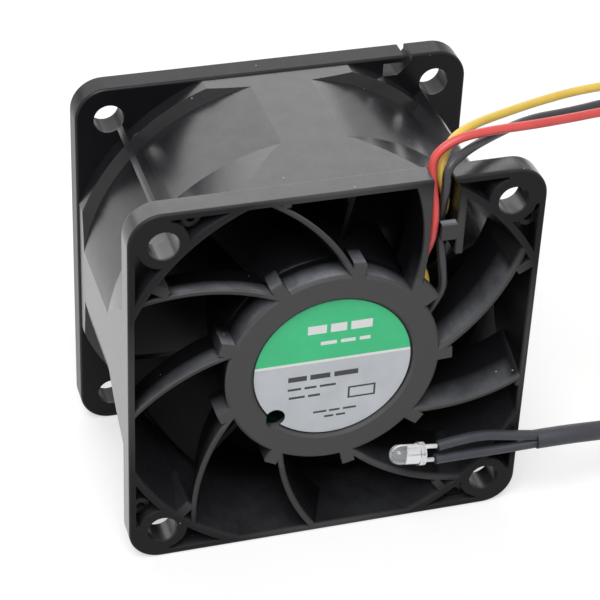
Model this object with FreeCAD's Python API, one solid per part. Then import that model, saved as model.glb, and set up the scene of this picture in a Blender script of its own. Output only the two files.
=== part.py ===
import FreeCAD, Part
import math
import os

# Server cooling fan, 60 mm square and 38 mm deep, with outlet guide vanes, leads and an indicator lamp.
# Each piece is drawn with the fan's axis along z and the label side at +z, x to the right and y up.
# Standing turns the fan upright: the label side faces -Y and the lower flange edges lie at Z = 0.

Vec = FreeCAD.Vector
AXIS = Vec(0, 0, 1)

# Frame and flanges, in millimetres
FRAME_SIDE = 60.0
FRAME_DEPTH = 38.0
FLANGE = 4.0
CORNER_R = 4.8
EDGE_ROUND = 0.4
HOLE_PITCH = 50.0
HOLE_R = 2.25
BOSS_WALL = 1.4
EDGE_WALL = 1.0
POCKET_DEPTH = 3.0
PIP_R = 1.4
PIP_BORE_R = 0.6
PIP_DROP = 4.0
PIP_SHARE = 0.5

# Duct
BORE_R = 28.6
DUCT_WALL = 1.45
FLARE_LENGTH = 14.6
FLARE_GROWTH = 3.4
FLARE_WALL = 1.0
RIM_WALL = 0.9
FLAT_INSET = 0.3
COLLAR_STEP = 1.65
COLLAR_LENGTH = 2.4
MOUTH_R = 2.6
RIB = 1.0
RIB_HEIGHT = 3.4

# Motor base
BASE_R = 16.0
BASE_DEPTH = 4.9
BASE_WALL = 1.1
BASE_PLATE = 0.8
BASE_EDGE = 0.35
LABEL_R = 11.7
LABEL = 0.1
LABEL_RECESS = 0.7
LABEL_GAP = 0.3
SIGHT_HOLE_R = 1.5
SIGHT_HOLE_ANGLE = 223.0
TUBE_BOSS_WALL = 1.3
TUBE_BOSS_HEIGHT = 4.5

# Guide vanes
VANES = 9
VANE = 1.05
VANE_DEPTH = 8.0
VANE_ANGLE = 0.6
VANE_SWEEP = 30.6
VANE_BOW = 1.3
VANE_LEAN = 6.5
VANE_EDGE = 0.25
ROOT_PAD = 1.9
ROOT_SHARE = 0.08
TIP_PAD = 2.4
TIP_SHARE = 0.85

# Lead channel, which takes the place of the second vane
CHANNEL_LEFT = 12.95
CHANNEL_WIDTH = 4.05
CHANNEL_WALL = 1.0
CHANNEL_FLOOR = 1.0
CHANNEL_ROOT_ANGLE = 46.0
CHANNEL_FOOT_ANGLE = 39.0
TAB = 1.7
TAB_REACH = 2.4
TAB_ANGLE = 34.0
BRACKET_FOOT = 17.3
HOOK_WIDTH = 2.5
HOOK_LENGTH = 2.3
HOOK_DEPTH = 1.4
NOTCH_WIDTH = 2.9
NOTCH_DEPTH = 5.4
CLIP_SLOT_LEFT = 16.8
CLIP_SLOT_WIDTH = 4.4
CLIP_SLOT_HEIGHT = 2.1
CLIP_MOUTH = 1.2

# Rotor
ROTOR_STEP = 0.2
ROTOR_GAP = 0.6
ROTOR_LENGTH = 28.5
HUB_SHELL = 1.1
HUB_ROUND = 0.9
NOSE_WALL = 1.5
NOSE_ROUND = 2.4
TIP_GAP = 0.6
BLADES = 7
BLADE = 1.5
BLADE_EDGE = 0.7
BLADE_TWIST = 100.0
BLADE_START = 31.5
BLADE_CAMBER = 0.35
BLADE_GAP = 0.9
BLADE_REAR = 14.3
YOKE = 0.7
MAGNET = 1.5
AIR_GAP = 0.45
FIT = 0.02

# Bearings and shaft
BEARING_R = 4.0
BEARING_WIDTH = 4.0
SHAFT_R = 1.5
PITCH_R = 2.75
BALL_R = 0.8
BALLS = 6
BALL_PLAY = 0.03
RACE_STEP = 0.45
SHIELD = 0.25
SHIELD_GAP = 0.1
BEARING_INSET = 1.5
TUBE_WALL = 0.8
TUBE_LENGTH = 26.0
TUBE_SHOULDER = 0.4
TUBE_LIP = 1.0
SHAFT_FRONT = 0.6
BUSH_R = 2.8
BUSH_FLANGE = 0.8
BUSH_FLANGE_R = 4.4
BUSH_INSET = 0.3
SPRING_WIRE = 0.5
SPRING_TURNS = 2.5
CLIP = 0.4
CLIP_R = 2.5
GROOVE = 0.35

# Stator
POLES = 4
CORE_INSET = 11.5
CORE_HEIGHT = 13.0
CORE_RING = 1.2
POLE_NECK = 2.6
SHOE = 1.3
SHOE_SPAN = 70.0
INSULATOR = 0.8
GUARD_HEIGHT = 2.4
COIL = 1.3
COIL_GAP = 0.1
POST_R = 0.7
MAGNET_FRONT = 3.5
MAGNET_REAR = 3.0
YOKE_LIP = 1.5

# Circuit board and what is soldered to it
BOARD = 1.0
BOARD_INSET = 0.2
BOARD_GAP = 0.3
PART_RING = 0.72
CHIP = (5.0, 4.0, 1.4)
TRANSISTOR = (2.9, 1.6, 1.0)
CAPACITOR = (2.0, 1.3, 1.1)
SENSOR = (1.8, 1.6, 0.7)
JOINT = (1.4, 1.1, 1.4)

# Leads, lamp and connector; their points are in the standing frame
LEAD = 1.3
LEAD_LIFT = 0.05
LEAD_INSET = 1.6
RED_ANGLE = 31.5
YELLOW_ANGLE = 22.1
BLACK_ANGLE = 12.7
LAMP_R = 1.5
LAMP_LENGTH = 5.3
LAMP_RIM = 0.25
LAMP_RIM_LENGTH = 0.9
LAMP_TIP = Vec(8.75, -20.9, 14.0)
LAMP_TILT = 7.0
LEG_R = 0.25
LEG_SPREAD = 1.27
LEG_LENGTH = 2.0
SLEEVE = 1.6
LAMP_CABLE = 3.0
PLUG_LENGTH = 14.0
PLUG_HEIGHT = 6.0
PLUG_SIDE = 2.4
PLUG_WALL = 0.8
TERMINAL = 0.64
TERMINAL_REACH = 11.0
SLOT_SIDE = 0.45
LATCH_WIDTH = 4.0
LATCH_HEIGHT = 0.8

# Levels along the axis, from the label side to the rear
FRONT = FRAME_DEPTH / 2
REAR = -FRAME_DEPTH / 2
HALF = FRAME_SIDE / 2
HOLE_AT = HOLE_PITCH / 2
PLATE_FRONT = FRONT - LABEL_RECESS
PLATE_REAR = PLATE_FRONT - BASE_PLATE
BASE_REAR = FRONT - BASE_DEPTH
VANE_REAR = FRONT - VANE_DEPTH
BOARD_REAR = BASE_REAR + BOARD_INSET
BOARD_FRONT = BOARD_REAR + BOARD
LEAD_LEVEL = BOARD_FRONT + LEAD / 2 + LEAD_LIFT
ROTOR_FRONT = BASE_REAR - ROTOR_GAP
ROTOR_REAR = ROTOR_FRONT - ROTOR_LENGTH
CORE_FRONT = PLATE_REAR - CORE_INSET
CORE_REAR = CORE_FRONT - CORE_HEIGHT
TUBE_REAR = PLATE_REAR - TUBE_LENGTH
FRONT_BEARING = PLATE_REAR - BEARING_INSET - BEARING_WIDTH / 2
REAR_BEARING = TUBE_REAR + TUBE_LIP + BEARING_WIDTH / 2
YOKE_REAR = ROTOR_REAR + NOSE_WALL + FIT
BUSH_FRONT = YOKE_REAR + YOKE + FIT + BUSH_FLANGE

# Radii
BOSS_R = HOLE_R + BOSS_WALL
DUCT_R = BORE_R + DUCT_WALL
OUTLET_R = BORE_R + FLARE_GROWTH
FLARE_R = OUTLET_R + FLARE_WALL
COLLAR_R = DUCT_R + COLLAR_STEP
OPEN_HALF = HALF - RIM_WALL
FLAT_HALF = HALF - FLAT_INSET
RECESS_R = LABEL_R + LABEL_GAP
CUP_R = BASE_R - BASE_WALL
ROTOR_R = BASE_R - ROTOR_STEP
TIP_R = BORE_R - TIP_GAP
YOKE_R = ROTOR_R - HUB_SHELL - FIT
MAGNET_R = YOKE_R - YOKE - FIT
STATOR_R = MAGNET_R - MAGNET - AIR_GAP
TUBE_R = BEARING_R + TUBE_WALL
TUBE_BOSS_R = TUBE_R + FIT + TUBE_BOSS_WALL
CORE_BORE = TUBE_R + FIT
CORE_RING_R = CORE_BORE + CORE_RING
BOARD_R = CUP_R - BOARD_GAP
BOARD_BORE = TUBE_BOSS_R + BOARD_GAP
PART_R = BOARD_R * PART_RING


def lead_start(degrees):
    """The point, in the standing frame, where a lead is soldered to the board's front."""
    radius = BOARD_R - LEAD_INSET
    angle = math.radians(degrees)
    return radius * math.cos(angle), -LEAD_LEVEL, HALF + radius * math.sin(angle)



# Routes of the leads and the lamp cable, chosen by hand in the standing frame
RED_POINTS = [
    lead_start(RED_ANGLE),
    (13.2, -LEAD_LEVEL, 40.2),
    (13.55, -15.0, 44.2),
    (13.82, -17.5, 49.2),
    (13.85, -18.0, 53.0),
    (13.8, -18.1, 57.0),
    (13.75, -17.9, 61.5),
    (16.8, -16.6, 65.0),
    (22.2, -14.9, 64.5),
    (29.0, -13.3, 63.4),
    (36.5, -12.0, 63.0),
    (44.5, -10.0, 62.3),
    (51.5, -8.4, 58.0),
    (55.5, -7.2, 49.5),
    (56.5, -6.0, 38.5),
    (55.8, -5.0, 26.5),
    (55.8, -4.2, 15.0),
    (58.5, -3.9, 6.5),
    (64.0, -3.8, 3.0),
    (69.0, -3.8, 3.0),
]
BLACK_POINTS = [
    lead_start(BLACK_ANGLE),
    (16.9, -LEAD_LEVEL, 38.3),
    (16.0, -17.2, 43.6),
    (15.6, -16.3, 47.9),
    (14.5, -16.1, 51.4),
    (14.45, -16.5, 55.6),
    (14.55, -16.5, 59.85),
    (17.9, -15.9, 63.0),
    (23.2, -12.8, 62.3),
    (30.2, -8.6, 62.0),
    (37.5, -6.3, 62.1),
    (45.2, -4.3, 61.4),
    (52.0, -3.3, 57.0),
    (55.9, -2.7, 48.6),
    (56.9, -2.1, 38.0),
    (56.3, -1.7, 26.5),
    (56.2, -1.4, 15.0),
    (58.7, -1.3, 6.6),
    (64.0, -1.3, 3.0),
    (69.0, -1.3, 3.0),
]
YELLOW_POINTS = [
    lead_start(YELLOW_ANGLE),
    (14.95, -LEAD_LEVEL, 39.3),
    (15.2, -14.3, 44.0),
    (15.9, -14.3, 49.8),
    (16.3, -16.2, 54.2),
    (15.0, -14.5, 58.3),
    (16.8, -12.5, 61.9),
    (21.2, -9.8, 62.3),
    (27.0, -6.7, 61.6),
    (33.8, -3.5, 62.0),
    (41.0, -1.2, 61.9),
    (48.0, 0.3, 60.1),
    (53.6, 0.9, 54.4),
    (56.5, 1.2, 45.4),
    (57.2, 1.3, 34.8),
    (56.6, 1.2, 24.0),
    (56.8, 1.2, 13.4),
    (59.2, 1.2, 6.0),
    (64.2, 1.2, 3.0),
    (69.0, 1.2, 3.0),
]
CABLE_POINTS = [
    (32.4, -20.1, 11.9),
    (37.0, -20.2, 12.0),
    (42.4, -19.7, 11.3),
    (47.6, -17.6, 9.3),
    (52.2, -14.4, 6.6),
    (56.4, -11.0, 4.3),
    (60.6, -8.4, 3.2),
    (64.8, -7.0, 3.0),
    (69.0, -7.0, 3.0),
]
UPPER_SLEEVE_POINTS = [
    (16.25, -20.9, 14.4),
    (20.0, -20.6, 14.7),
    (24.0, -20.1, 14.4),
    (28.2, -19.9, 13.3),
    (32.25, -20.1, 12.75),
]
LOWER_SLEEVE_POINTS = [
    (16.0, -20.9, 11.9),
    (20.0, -20.5, 11.6),
    (24.2, -20.0, 11.1),
    (28.4, -19.9, 11.0),
    (32.25, -20.1, 11.05),
]


# Small tools of the drawing board

def solid_of(points, sweep):
    """A closed outline of points, filled and handed to a sweep."""
    return sweep(Part.Face(Part.makePolygon([*points, points[0]])))


def turned(outline):
    """A full turn of an outline of (radius, level) points about the axis."""
    points = [Vec(r, 0, z) for r, z in outline]
    return solid_of(points, lambda face: face.revolve(Vec(), AXIS, 360))


def slab(outline, low, high):
    """An outline of (x, y) points raised from one level to another."""
    points = [Vec(x, y, low) for x, y in outline]
    return solid_of(points, lambda face: face.extrude(Vec(0, 0, high - low)))


def disc(radius, low, high, x=0.0, y=0.0):
    return Part.makeCylinder(radius, high - low, Vec(x, y, low))


def ring(outer, inner, low, high):
    return disc(outer, low, high).cut(disc(inner, low, high))


def block(x0, x1, y0, y1, low, high):
    return Part.makeBox(x1 - x0, y1 - y0, high - low, Vec(x0, y0, low))


def square_bar(half, low, high):
    return block(-half, half, -half, half, low, high)


def spun(shape, degrees):
    """A copy turned about the axis, counter-clockwise seen from the label side."""
    copy = shape.copy()
    copy.rotate(Vec(), AXIS, degrees)
    return copy


def around(shape, count, start=0.0):
    """Copies of a shape evenly spaced about the axis."""
    return [spun(shape, start + 360.0 * i / count) for i in range(count)]


def polar(radius, degrees, level=0.0):
    angle = math.radians(degrees)
    return Vec(radius * math.cos(angle), radius * math.sin(angle), level)


def fused(shapes):
    first, *rest = shapes
    return first.multiFuse(rest).removeSplitter()


def standing(shape):
    """The shape turned upright, with the lower flange edges on Z = 0."""
    copy = shape.copy()
    copy.rotate(Vec(), Vec(1, 0, 0), 90)
    copy.translate(Vec(0, 0, HALF))
    return copy


# Housing

def flange(low, high):
    plate = square_bar(HALF, low, high)
    corners = [e for e in plate.Edges if abs(e.tangentAt(e.FirstParameter).z) > 0.5]
    plate = plate.makeFillet(CORNER_R, corners)
    outline = [e for e in plate.Edges if e.BoundBox.ZLength < FIT]
    return plate.makeFillet(EDGE_ROUND, outline)


def duct_form(half, low, high):
    """The duct's outside before boring: rear collar, tube and front flare, with a flat on each side."""
    collar_end = REAR + FLANGE + COLLAR_LENGTH
    flare_start = FRONT - FLARE_LENGTH
    form = turned([
        (0, REAR),
        (COLLAR_R, REAR),
        (COLLAR_R, collar_end),
        (DUCT_R, collar_end + COLLAR_STEP / 2),
        (DUCT_R, flare_start),
        (FLARE_R, FRONT),
        (0, FRONT),
    ])
    return form.common(square_bar(half, low, high))


def air_passage():
    """The air's way through: rounded inlet mouth, bore and outlet flare, squared off at the rims."""
    beyond = FLANGE
    slope = FLARE_GROWTH / FLARE_LENGTH
    mouth_top = Vec(BORE_R + MOUTH_R, 0, REAR)
    mouth_mid = Vec(BORE_R + MOUTH_R * (1 - math.sqrt(0.5)), 0, REAR + MOUTH_R * (1 - math.sqrt(0.5)))
    mouth_end = Vec(BORE_R, 0, REAR + MOUTH_R)
    rest = [
        mouth_end,
        Vec(BORE_R, 0, FRONT - FLARE_LENGTH),
        Vec(OUTLET_R + slope * beyond, 0, FRONT + beyond),
        Vec(0, 0, FRONT + beyond),
        Vec(0, 0, REAR - beyond),
        Vec(BORE_R + MOUTH_R, 0, REAR - beyond),
        mouth_top,
    ]
    mouth = Part.Arc(mouth_top, mouth_mid, mouth_end).toShape()
    outline = Part.Wire([mouth, *Part.makePolygon(rest).Edges])
    passage = Part.Face(outline).revolve(Vec(), AXIS, 360)
    return passage.common(square_bar(OPEN_HALF, REAR - beyond, FRONT + beyond))


def corner_ribs():
    rib = block(BORE_R, DUCT_R + RIB_HEIGHT, -RIB / 2, RIB / 2, REAR + FLANGE, FRONT - FLANGE)
    return around(rib, 4, 45)


def corner_pockets():
    """Two blind pockets beside each bolt boss, one of them with a small hollow pip."""
    low = FRONT - POCKET_DEPTH
    reach = HALF - EDGE_WALL
    end = HOLE_AT - EDGE_WALL
    keep = fused([disc(FLARE_R, low, FRONT), disc(BOSS_R, low, FRONT, HOLE_AT, HOLE_AT)])
    upper = block(0, end, end - BOSS_R, reach, low, FRONT).cut(keep)
    side = block(end - BOSS_R, reach, 0, end, low, FRONT).cut(keep)
    pip_at = (reach - EDGE_WALL, HOLE_AT - PIP_DROP)
    top = low + POCKET_DEPTH * PIP_SHARE
    pip = disc(PIP_R, low, top, *pip_at).cut(disc(PIP_BORE_R, low, top, *pip_at))
    pockets = [upper, side.cut(pip)]
    return [p for pocket in pockets for p in around(pocket, 4)]


def bolt_holes():
    hole = disc(HOLE_R, REAR, FRONT, HOLE_AT, HOLE_AT)
    return around(hole, 4)


def vane_outline(level, width):
    """The cambered outline of a vane at one level, from inside the motor base to inside the duct wall."""
    lean = VANE_LEAN * (FRONT - level) / VANE_DEPTH
    inner = CUP_R + BASE_WALL / 2
    outer = OUTLET_R + FLARE_WALL / 2
    middle = (inner + outer) / 2
    sides = []
    for side in (-width / 2, width / 2):
        ends = []
        for radius in (inner, middle, outer):
            share = (radius - inner) / (outer - inner)
            bow = 4 * VANE_BOW * share * (1 - share)
            angle = VANE_ANGLE + lean + VANE_SWEEP * share + bow
            ends.append(polar(radius, angle + math.degrees(side / radius), level))
        sides.append(ends)
    right, left = sides
    return Part.Wire([
        Part.Arc(*right).toShape(),
        Part.makeLine(right[2], left[2]),
        Part.Arc(*left[::-1]).toShape(),
        Part.makeLine(left[0], right[0]),
    ])


def vane():
    """A guide vane that leans as it goes back, with a broken front edge and a pad at each end."""
    outlines = [
        vane_outline(FRONT, VANE - 2 * VANE_EDGE),
        vane_outline(FRONT - VANE_EDGE, VANE),
        vane_outline(VANE_REAR, VANE),
    ]
    blade = Part.makeLoft(outlines, True, True)
    root = block(BASE_R - BASE_WALL / 2, BASE_R + ROOT_PAD, -ROOT_PAD, 0, BASE_REAR, FRONT)
    tip = block(OUTLET_R - TIP_PAD, OUTLET_R + FLARE_WALL / 2, -TIP_PAD / 2, 0, VANE_REAR, FRONT)
    root_angle = VANE_ANGLE + VANE_SWEEP * ROOT_SHARE
    tip_angle = VANE_ANGLE + VANE_SWEEP * TIP_SHARE
    return fused([blade, spun(root, root_angle), spun(tip, tip_angle)])


def channel():
    """The lead channel: a thick vane, a bracket with a hook in front, and a floor behind the leads."""
    right = CHANNEL_LEFT + CHANNEL_WIDTH
    top = OPEN_HALF + RIM_WALL / 3
    root = polar(BASE_R - BASE_WALL / 2, CHANNEL_ROOT_ANGLE)
    foot = polar(BASE_R - BASE_WALL / 2, CHANNEL_FOOT_ANGLE)
    waist = Vec(CHANNEL_LEFT - CHANNEL_WALL, (BRACKET_FOOT + top) / 2)
    head = Vec(CHANNEL_LEFT - 2.5 * CHANNEL_WALL, top)
    sides = [
        Part.Arc(root, waist, head).toShape(),
        Part.makeLine(head, Vec(CHANNEL_LEFT, top)),
        Part.makeLine(Vec(CHANNEL_LEFT, top), Vec(CHANNEL_LEFT, BRACKET_FOOT)),
        Part.makeLine(Vec(CHANNEL_LEFT, BRACKET_FOOT), foot),
        Part.makeLine(foot, root),
    ]
    wall = Part.Face(Part.Wire(sides)).extrude(Vec(0, 0, VANE_DEPTH))
    wall.translate(Vec(0, 0, VANE_REAR))
    bracket = block(right, right + CHANNEL_WALL, BRACKET_FOOT, top, VANE_REAR, FRONT)
    hook_foot = BRACKET_FOOT + HOOK_WIDTH
    hook = block(right - HOOK_LENGTH, right, hook_foot, hook_foot + HOOK_WIDTH, FRONT - HOOK_DEPTH, FRONT)
    left = CHANNEL_LEFT - CHANNEL_WALL / 2
    floor = block(left, right, BRACKET_FOOT, top, VANE_REAR, VANE_REAR + CHANNEL_FLOOR)
    return [wall, bracket, hook, floor, lead_tab()]


def lead_tab():
    """A tab at the thick vane's root that covers the leads where they go into the cup."""
    inner = BASE_R - BASE_WALL / 2
    outer = BASE_R + TAB_REACH
    middle = (TAB_ANGLE + CHANNEL_ROOT_ANGLE) / 2
    corners = [
        polar(inner, TAB_ANGLE),
        polar(outer, TAB_ANGLE),
        polar(outer, middle),
        polar(outer, CHANNEL_ROOT_ANGLE),
        polar(inner, CHANNEL_ROOT_ANGLE),
    ]
    return slab([(c.x, c.y) for c in corners], FRONT - TAB, FRONT)


def channel_notch():
    """The way out for the leads: the channel's own width inside the rim, narrowing to a slot in the rim."""
    right = CHANNEL_LEFT + CHANNEL_WIDTH
    outline = [
        (CHANNEL_LEFT, OPEN_HALF - CHANNEL_WIDTH),
        (right, OPEN_HALF - CHANNEL_WIDTH),
        (right, OPEN_HALF),
        (CHANNEL_LEFT + NOTCH_WIDTH + RIM_WALL / 2, OPEN_HALF),
        (CHANNEL_LEFT + NOTCH_WIDTH, HALF + RIM_WALL),
        (CHANNEL_LEFT, HALF + RIM_WALL),
    ]
    return slab(outline, FRONT - NOTCH_DEPTH, FRONT)


def rear_clip_slot():
    """A slot in the rear flange's upper edge that can hold the leads when they run to the rear."""
    left = CLIP_SLOT_LEFT
    right = left + CLIP_SLOT_WIDTH
    under = HALF - EDGE_WALL
    outline = [
        (left, under),
        (left, under - CLIP_SLOT_HEIGHT),
        (right - CLIP_SLOT_HEIGHT, under - CLIP_SLOT_HEIGHT),
        (right, under),
        (right, HALF + EDGE_WALL),
        (right - CLIP_MOUTH, HALF + EDGE_WALL),
        (right - CLIP_MOUTH, under),
    ]
    return slab(outline, REAR, REAR + FLANGE)


def motor_base():
    """The shallow cup that carries the motor, with the label's recess and the boss for the bearing tube."""
    cup = turned([
        (0, PLATE_REAR),
        (0, PLATE_FRONT),
        (RECESS_R, PLATE_FRONT),
        (RECESS_R, FRONT - BASE_EDGE),
        (RECESS_R + BASE_EDGE, FRONT),
        (BASE_R - BASE_EDGE, FRONT),
        (BASE_R, FRONT - BASE_EDGE),
        (BASE_R, BASE_REAR),
        (CUP_R, BASE_REAR),
        (CUP_R, PLATE_REAR),
        (TUBE_BOSS_R, PLATE_REAR),
        (TUBE_BOSS_R, PLATE_REAR - TUBE_BOSS_HEIGHT),
        (TUBE_R + FIT, PLATE_REAR - TUBE_BOSS_HEIGHT),
        (TUBE_R + FIT, PLATE_REAR),
    ])
    return cup.cut(sight_hole(SIGHT_HOLE_R))


def sight_hole(radius):
    """The round hole through the base beside the label's edge, as a plug to cut with."""
    at = polar(LABEL_R - LABEL_GAP, SIGHT_HOLE_ANGLE)
    return disc(radius, PLATE_REAR, FRONT, at.x, at.y)


def lead_slots():
    """Slots through the cup's side for the three leads, each along its own first run."""
    slots = []
    for points in (RED_POINTS, BLACK_POINTS, YELLOW_POINTS):
        (x0, y0, z0), (x1, y1, z1) = points[:2]
        run = Vec(x1 - x0, z1 - z0, 0)
        half = LEAD / 2 + SLOT_SIDE
        slot = Part.makeBox(run.Length, 2 * half, -y0 + half - BASE_REAR, Vec(0, -half, BASE_REAR))
        slot.rotate(Vec(), AXIS, math.degrees(math.atan2(run.y, run.x)))
        slot.translate(Vec(x0, z0 - HALF, 0))
        slots.append(slot)
    return slots


def housing():
    form = duct_form(FLAT_HALF, REAR + FLANGE / 2, FRONT - FLANGE / 2)
    sheath = duct_form(HALF - RIM_WALL / 2, REAR, FRONT)
    plain_vanes = [v for i, v in enumerate(around(vane(), VANES)) if i != 1]
    swept = fused([*plain_vanes, *channel()]).common(sheath)
    rotor_room = disc(BASE_R + ROTOR_GAP, VANE_REAR - VANE_DEPTH, BASE_REAR)
    swept = swept.cut(fused([disc(CUP_R, VANE_REAR - VANE_DEPTH, FRONT), rotor_room]))
    shell = fused([flange(REAR, REAR + FLANGE), flange(FRONT - FLANGE, FRONT), form, *corner_ribs()])
    cuts = [air_passage(), *corner_pockets(), *bolt_holes(), channel_notch(), rear_clip_slot()]
    shell = shell.cut(cuts)
    return fused([shell, swept, motor_base()]).cut(lead_slots())


# Rotor

def blade_section(level, start, end):
    """A thin radial strip across the air passage, turned and thinned by its place along the blade."""
    share = (level - start) / (end - start)
    turn = BLADE_START + BLADE_TWIST * share * (1 + BLADE_CAMBER * (1 - share))
    thick = BLADE_EDGE + (BLADE - BLADE_EDGE) * 4 * share * (1 - share)
    inner = ROTOR_R - HUB_SHELL / 2
    outer = BORE_R
    corners = []
    for radius, side in ((inner, -1), (outer, -1), (outer, 1), (inner, 1)):
        corners.append(polar(radius, turn + side * math.degrees(thick / 2 / radius), level))
    return Part.makePolygon([*corners, corners[0]])


def blades():
    """Twisted blades, trimmed to the tip circle and to slanting leading and trailing edges."""
    front = VANE_REAR - BLADE_GAP
    rear = -BLADE_REAR
    slant = BLADE_GAP
    levels = [rear + (front - rear) * share for share in (0.0, 0.16, 0.33, 0.5, 0.67, 0.84, 1.0)]
    blank = Part.makeLoft([blade_section(z, rear, front) for z in levels], True, False)
    envelope = turned([
        (0, rear + slant),
        (ROTOR_R, rear + slant),
        (TIP_R, rear),
        (TIP_R, front - slant),
        (0, front),
    ])
    return around(blank.common(envelope), BLADES)


def impeller():
    cup = disc(ROTOR_R, ROTOR_REAR, ROTOR_FRONT)
    nose = [e for e in cup.Edges if e.BoundBox.ZMax < ROTOR_REAR + FIT and e.Length > ROTOR_R]
    cup = cup.makeFillet(NOSE_ROUND, nose)
    rim = [e for e in cup.Edges if e.BoundBox.ZMin > ROTOR_FRONT - FIT and e.Length > ROTOR_R]
    cup = cup.makeFillet(HUB_ROUND, rim)
    inside = disc(YOKE_R + FIT, ROTOR_REAR + NOSE_WALL, ROTOR_FRONT)
    whole = fused([cup, *blades()])
    return whole.cut([inside, disc(BUSH_R + FIT, ROTOR_REAR, ROTOR_FRONT)])


def rotor_yoke():
    front = CORE_FRONT + MAGNET_FRONT + YOKE_LIP
    return turned([
        (BUSH_R + FIT, YOKE_REAR),
        (YOKE_R, YOKE_REAR),
        (YOKE_R, front),
        (YOKE_R - YOKE, front),
        (YOKE_R - YOKE, YOKE_REAR + YOKE),
        (BUSH_R + FIT, YOKE_REAR + YOKE),
    ])


def ring_magnet():
    return ring(MAGNET_R, MAGNET_R - MAGNET, CORE_REAR - MAGNET_REAR, CORE_FRONT + MAGNET_FRONT)


def hub_bush():
    """A flanged bush through the yoke and the impeller's nose, pressed on the shaft."""
    bore = SHAFT_R + FIT / 2
    flange_rear = BUSH_FRONT - BUSH_FLANGE
    return turned([
        (bore, ROTOR_REAR + BUSH_INSET),
        (BUSH_R, ROTOR_REAR + BUSH_INSET),
        (BUSH_R, flange_rear),
        (BUSH_FLANGE_R, flange_rear),
        (BUSH_FLANGE_R, BUSH_FRONT),
        (bore, BUSH_FRONT),
    ])


def clip_level():
    return FRONT_BEARING + BEARING_WIDTH / 2 + FIT


def shaft():
    rod = disc(SHAFT_R, ROTOR_REAR + 2 * BUSH_INSET, PLATE_REAR - SHAFT_FRONT)
    rod = rod.makeChamfer(GROOVE, [e for e in rod.Edges if e.Length < 7 * SHAFT_R and e.Closed])
    low = clip_level() - FIT
    return rod.cut(ring(2 * SHAFT_R, SHAFT_R - GROOVE, low, low + CLIP + 3 * FIT))


def retaining_clip():
    low = clip_level()
    whole = ring(CLIP_R, SHAFT_R - GROOVE + FIT, low, low + CLIP)
    return whole.cut(block(0, CLIP_R, -SHAFT_R / 2, SHAFT_R / 2, low, low + CLIP))


def preload_spring():
    """A compression spring between the bush's flange and the rear bearing's inner race."""
    radius = SPRING_WIRE / 2
    coil_r = SHAFT_R + SPRING_WIRE
    low = BUSH_FRONT + FIT + radius
    high = REAR_BEARING - BEARING_WIDTH / 2 - FIT - radius
    height = high - low
    path = Part.makeHelix(height / SPRING_TURNS, height, coil_r)
    path.translate(Vec(0, 0, low))
    start = path.Edges[0]
    at = start.FirstParameter
    section = Part.makeCircle(radius, start.valueAt(at), start.tangentAt(at))
    return Part.Wire(path.Edges).makePipeShell([Part.Wire(section)], True, True)


# Bearings

def ball_track(middle):
    return Part.makeTorus(PITCH_R, BALL_R + BALL_PLAY, Vec(0, 0, middle), AXIS)


def inner_race(middle):
    half = BEARING_WIDTH / 2
    return ring(PITCH_R - RACE_STEP, SHAFT_R + FIT / 2, middle - half, middle + half).cut(ball_track(middle))


def outer_race(middle):
    half = BEARING_WIDTH / 2
    return ring(BEARING_R, PITCH_R + RACE_STEP, middle - half, middle + half).cut(ball_track(middle))


def ball_set(middle):
    ball = Part.makeSphere(BALL_R, Vec(PITCH_R, 0, middle))
    return Part.makeCompound(around(ball, BALLS))


def shields(middle):
    """The two covers pressed into the outer race, clear of the inner one."""
    outer = PITCH_R + RACE_STEP - FIT / 2
    inner = PITCH_R - RACE_STEP + SHIELD_GAP
    far = BEARING_WIDTH / 2 - SHIELD
    front = ring(outer, inner, middle + far - SHIELD, middle + far)
    rear = ring(outer, inner, middle - far, middle - far + SHIELD)
    return Part.makeCompound([front, rear])


def bearing_tube():
    """A brass tube with a shoulder for each bearing's outer race."""
    seat = BEARING_R + FIT / 2
    land = BEARING_R - TUBE_SHOULDER
    front_seat = FRONT_BEARING - BEARING_WIDTH / 2
    rear_seat = REAR_BEARING + BEARING_WIDTH / 2
    return turned([
        (TUBE_R, TUBE_REAR),
        (TUBE_R, PLATE_REAR),
        (seat, PLATE_REAR),
        (seat, front_seat),
        (land, front_seat),
        (land, rear_seat),
        (seat, rear_seat),
        (seat, TUBE_REAR),
    ])


# Stator

def sector(outer, inner, span, low, high):
    """A piece of a ring that spans some degrees about the x axis."""
    reach = 2 * outer
    half = math.radians(span / 2)
    wedge = slab([(0, 0), (reach, -reach * math.tan(half)), (reach, reach * math.tan(half))], low, high)
    return ring(outer, inner, low, high).common(wedge)


def stator_core():
    half = POLE_NECK / 2
    neck = block(CORE_BORE + CORE_RING / 2, STATOR_R - SHOE / 2, -half, half, CORE_REAR, CORE_FRONT)
    shoe = sector(STATOR_R, STATOR_R - SHOE, SHOE_SPAN, CORE_REAR, CORE_FRONT)
    hub = ring(CORE_RING_R, CORE_BORE, CORE_REAR, CORE_FRONT)
    return fused([hub, *around(fused([neck, shoe]), POLES)])


def insulator(seat, away):
    """A spider over one end of the core, with a guard wall at each shoe; away is +1 or -1 along the axis."""
    low, high = sorted((seat, seat + away * INSULATOR))
    wall_low, wall_high = sorted((seat, seat + away * (INSULATOR + GUARD_HEIGHT)))
    width = POLE_NECK / 2 + INSULATOR / 2
    arm = block(CORE_BORE + CORE_RING / 2, STATOR_R - SHOE / 2, -width, width, low, high)
    guard = sector(STATOR_R - SHOE / 3, STATOR_R - SHOE, SHOE_SPAN * 0.8, wall_low, wall_high)
    hub = ring(CORE_RING_R + INSULATOR / 2, CORE_BORE, low, high)
    return [hub, *around(fused([arm, guard]), POLES)]


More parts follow.
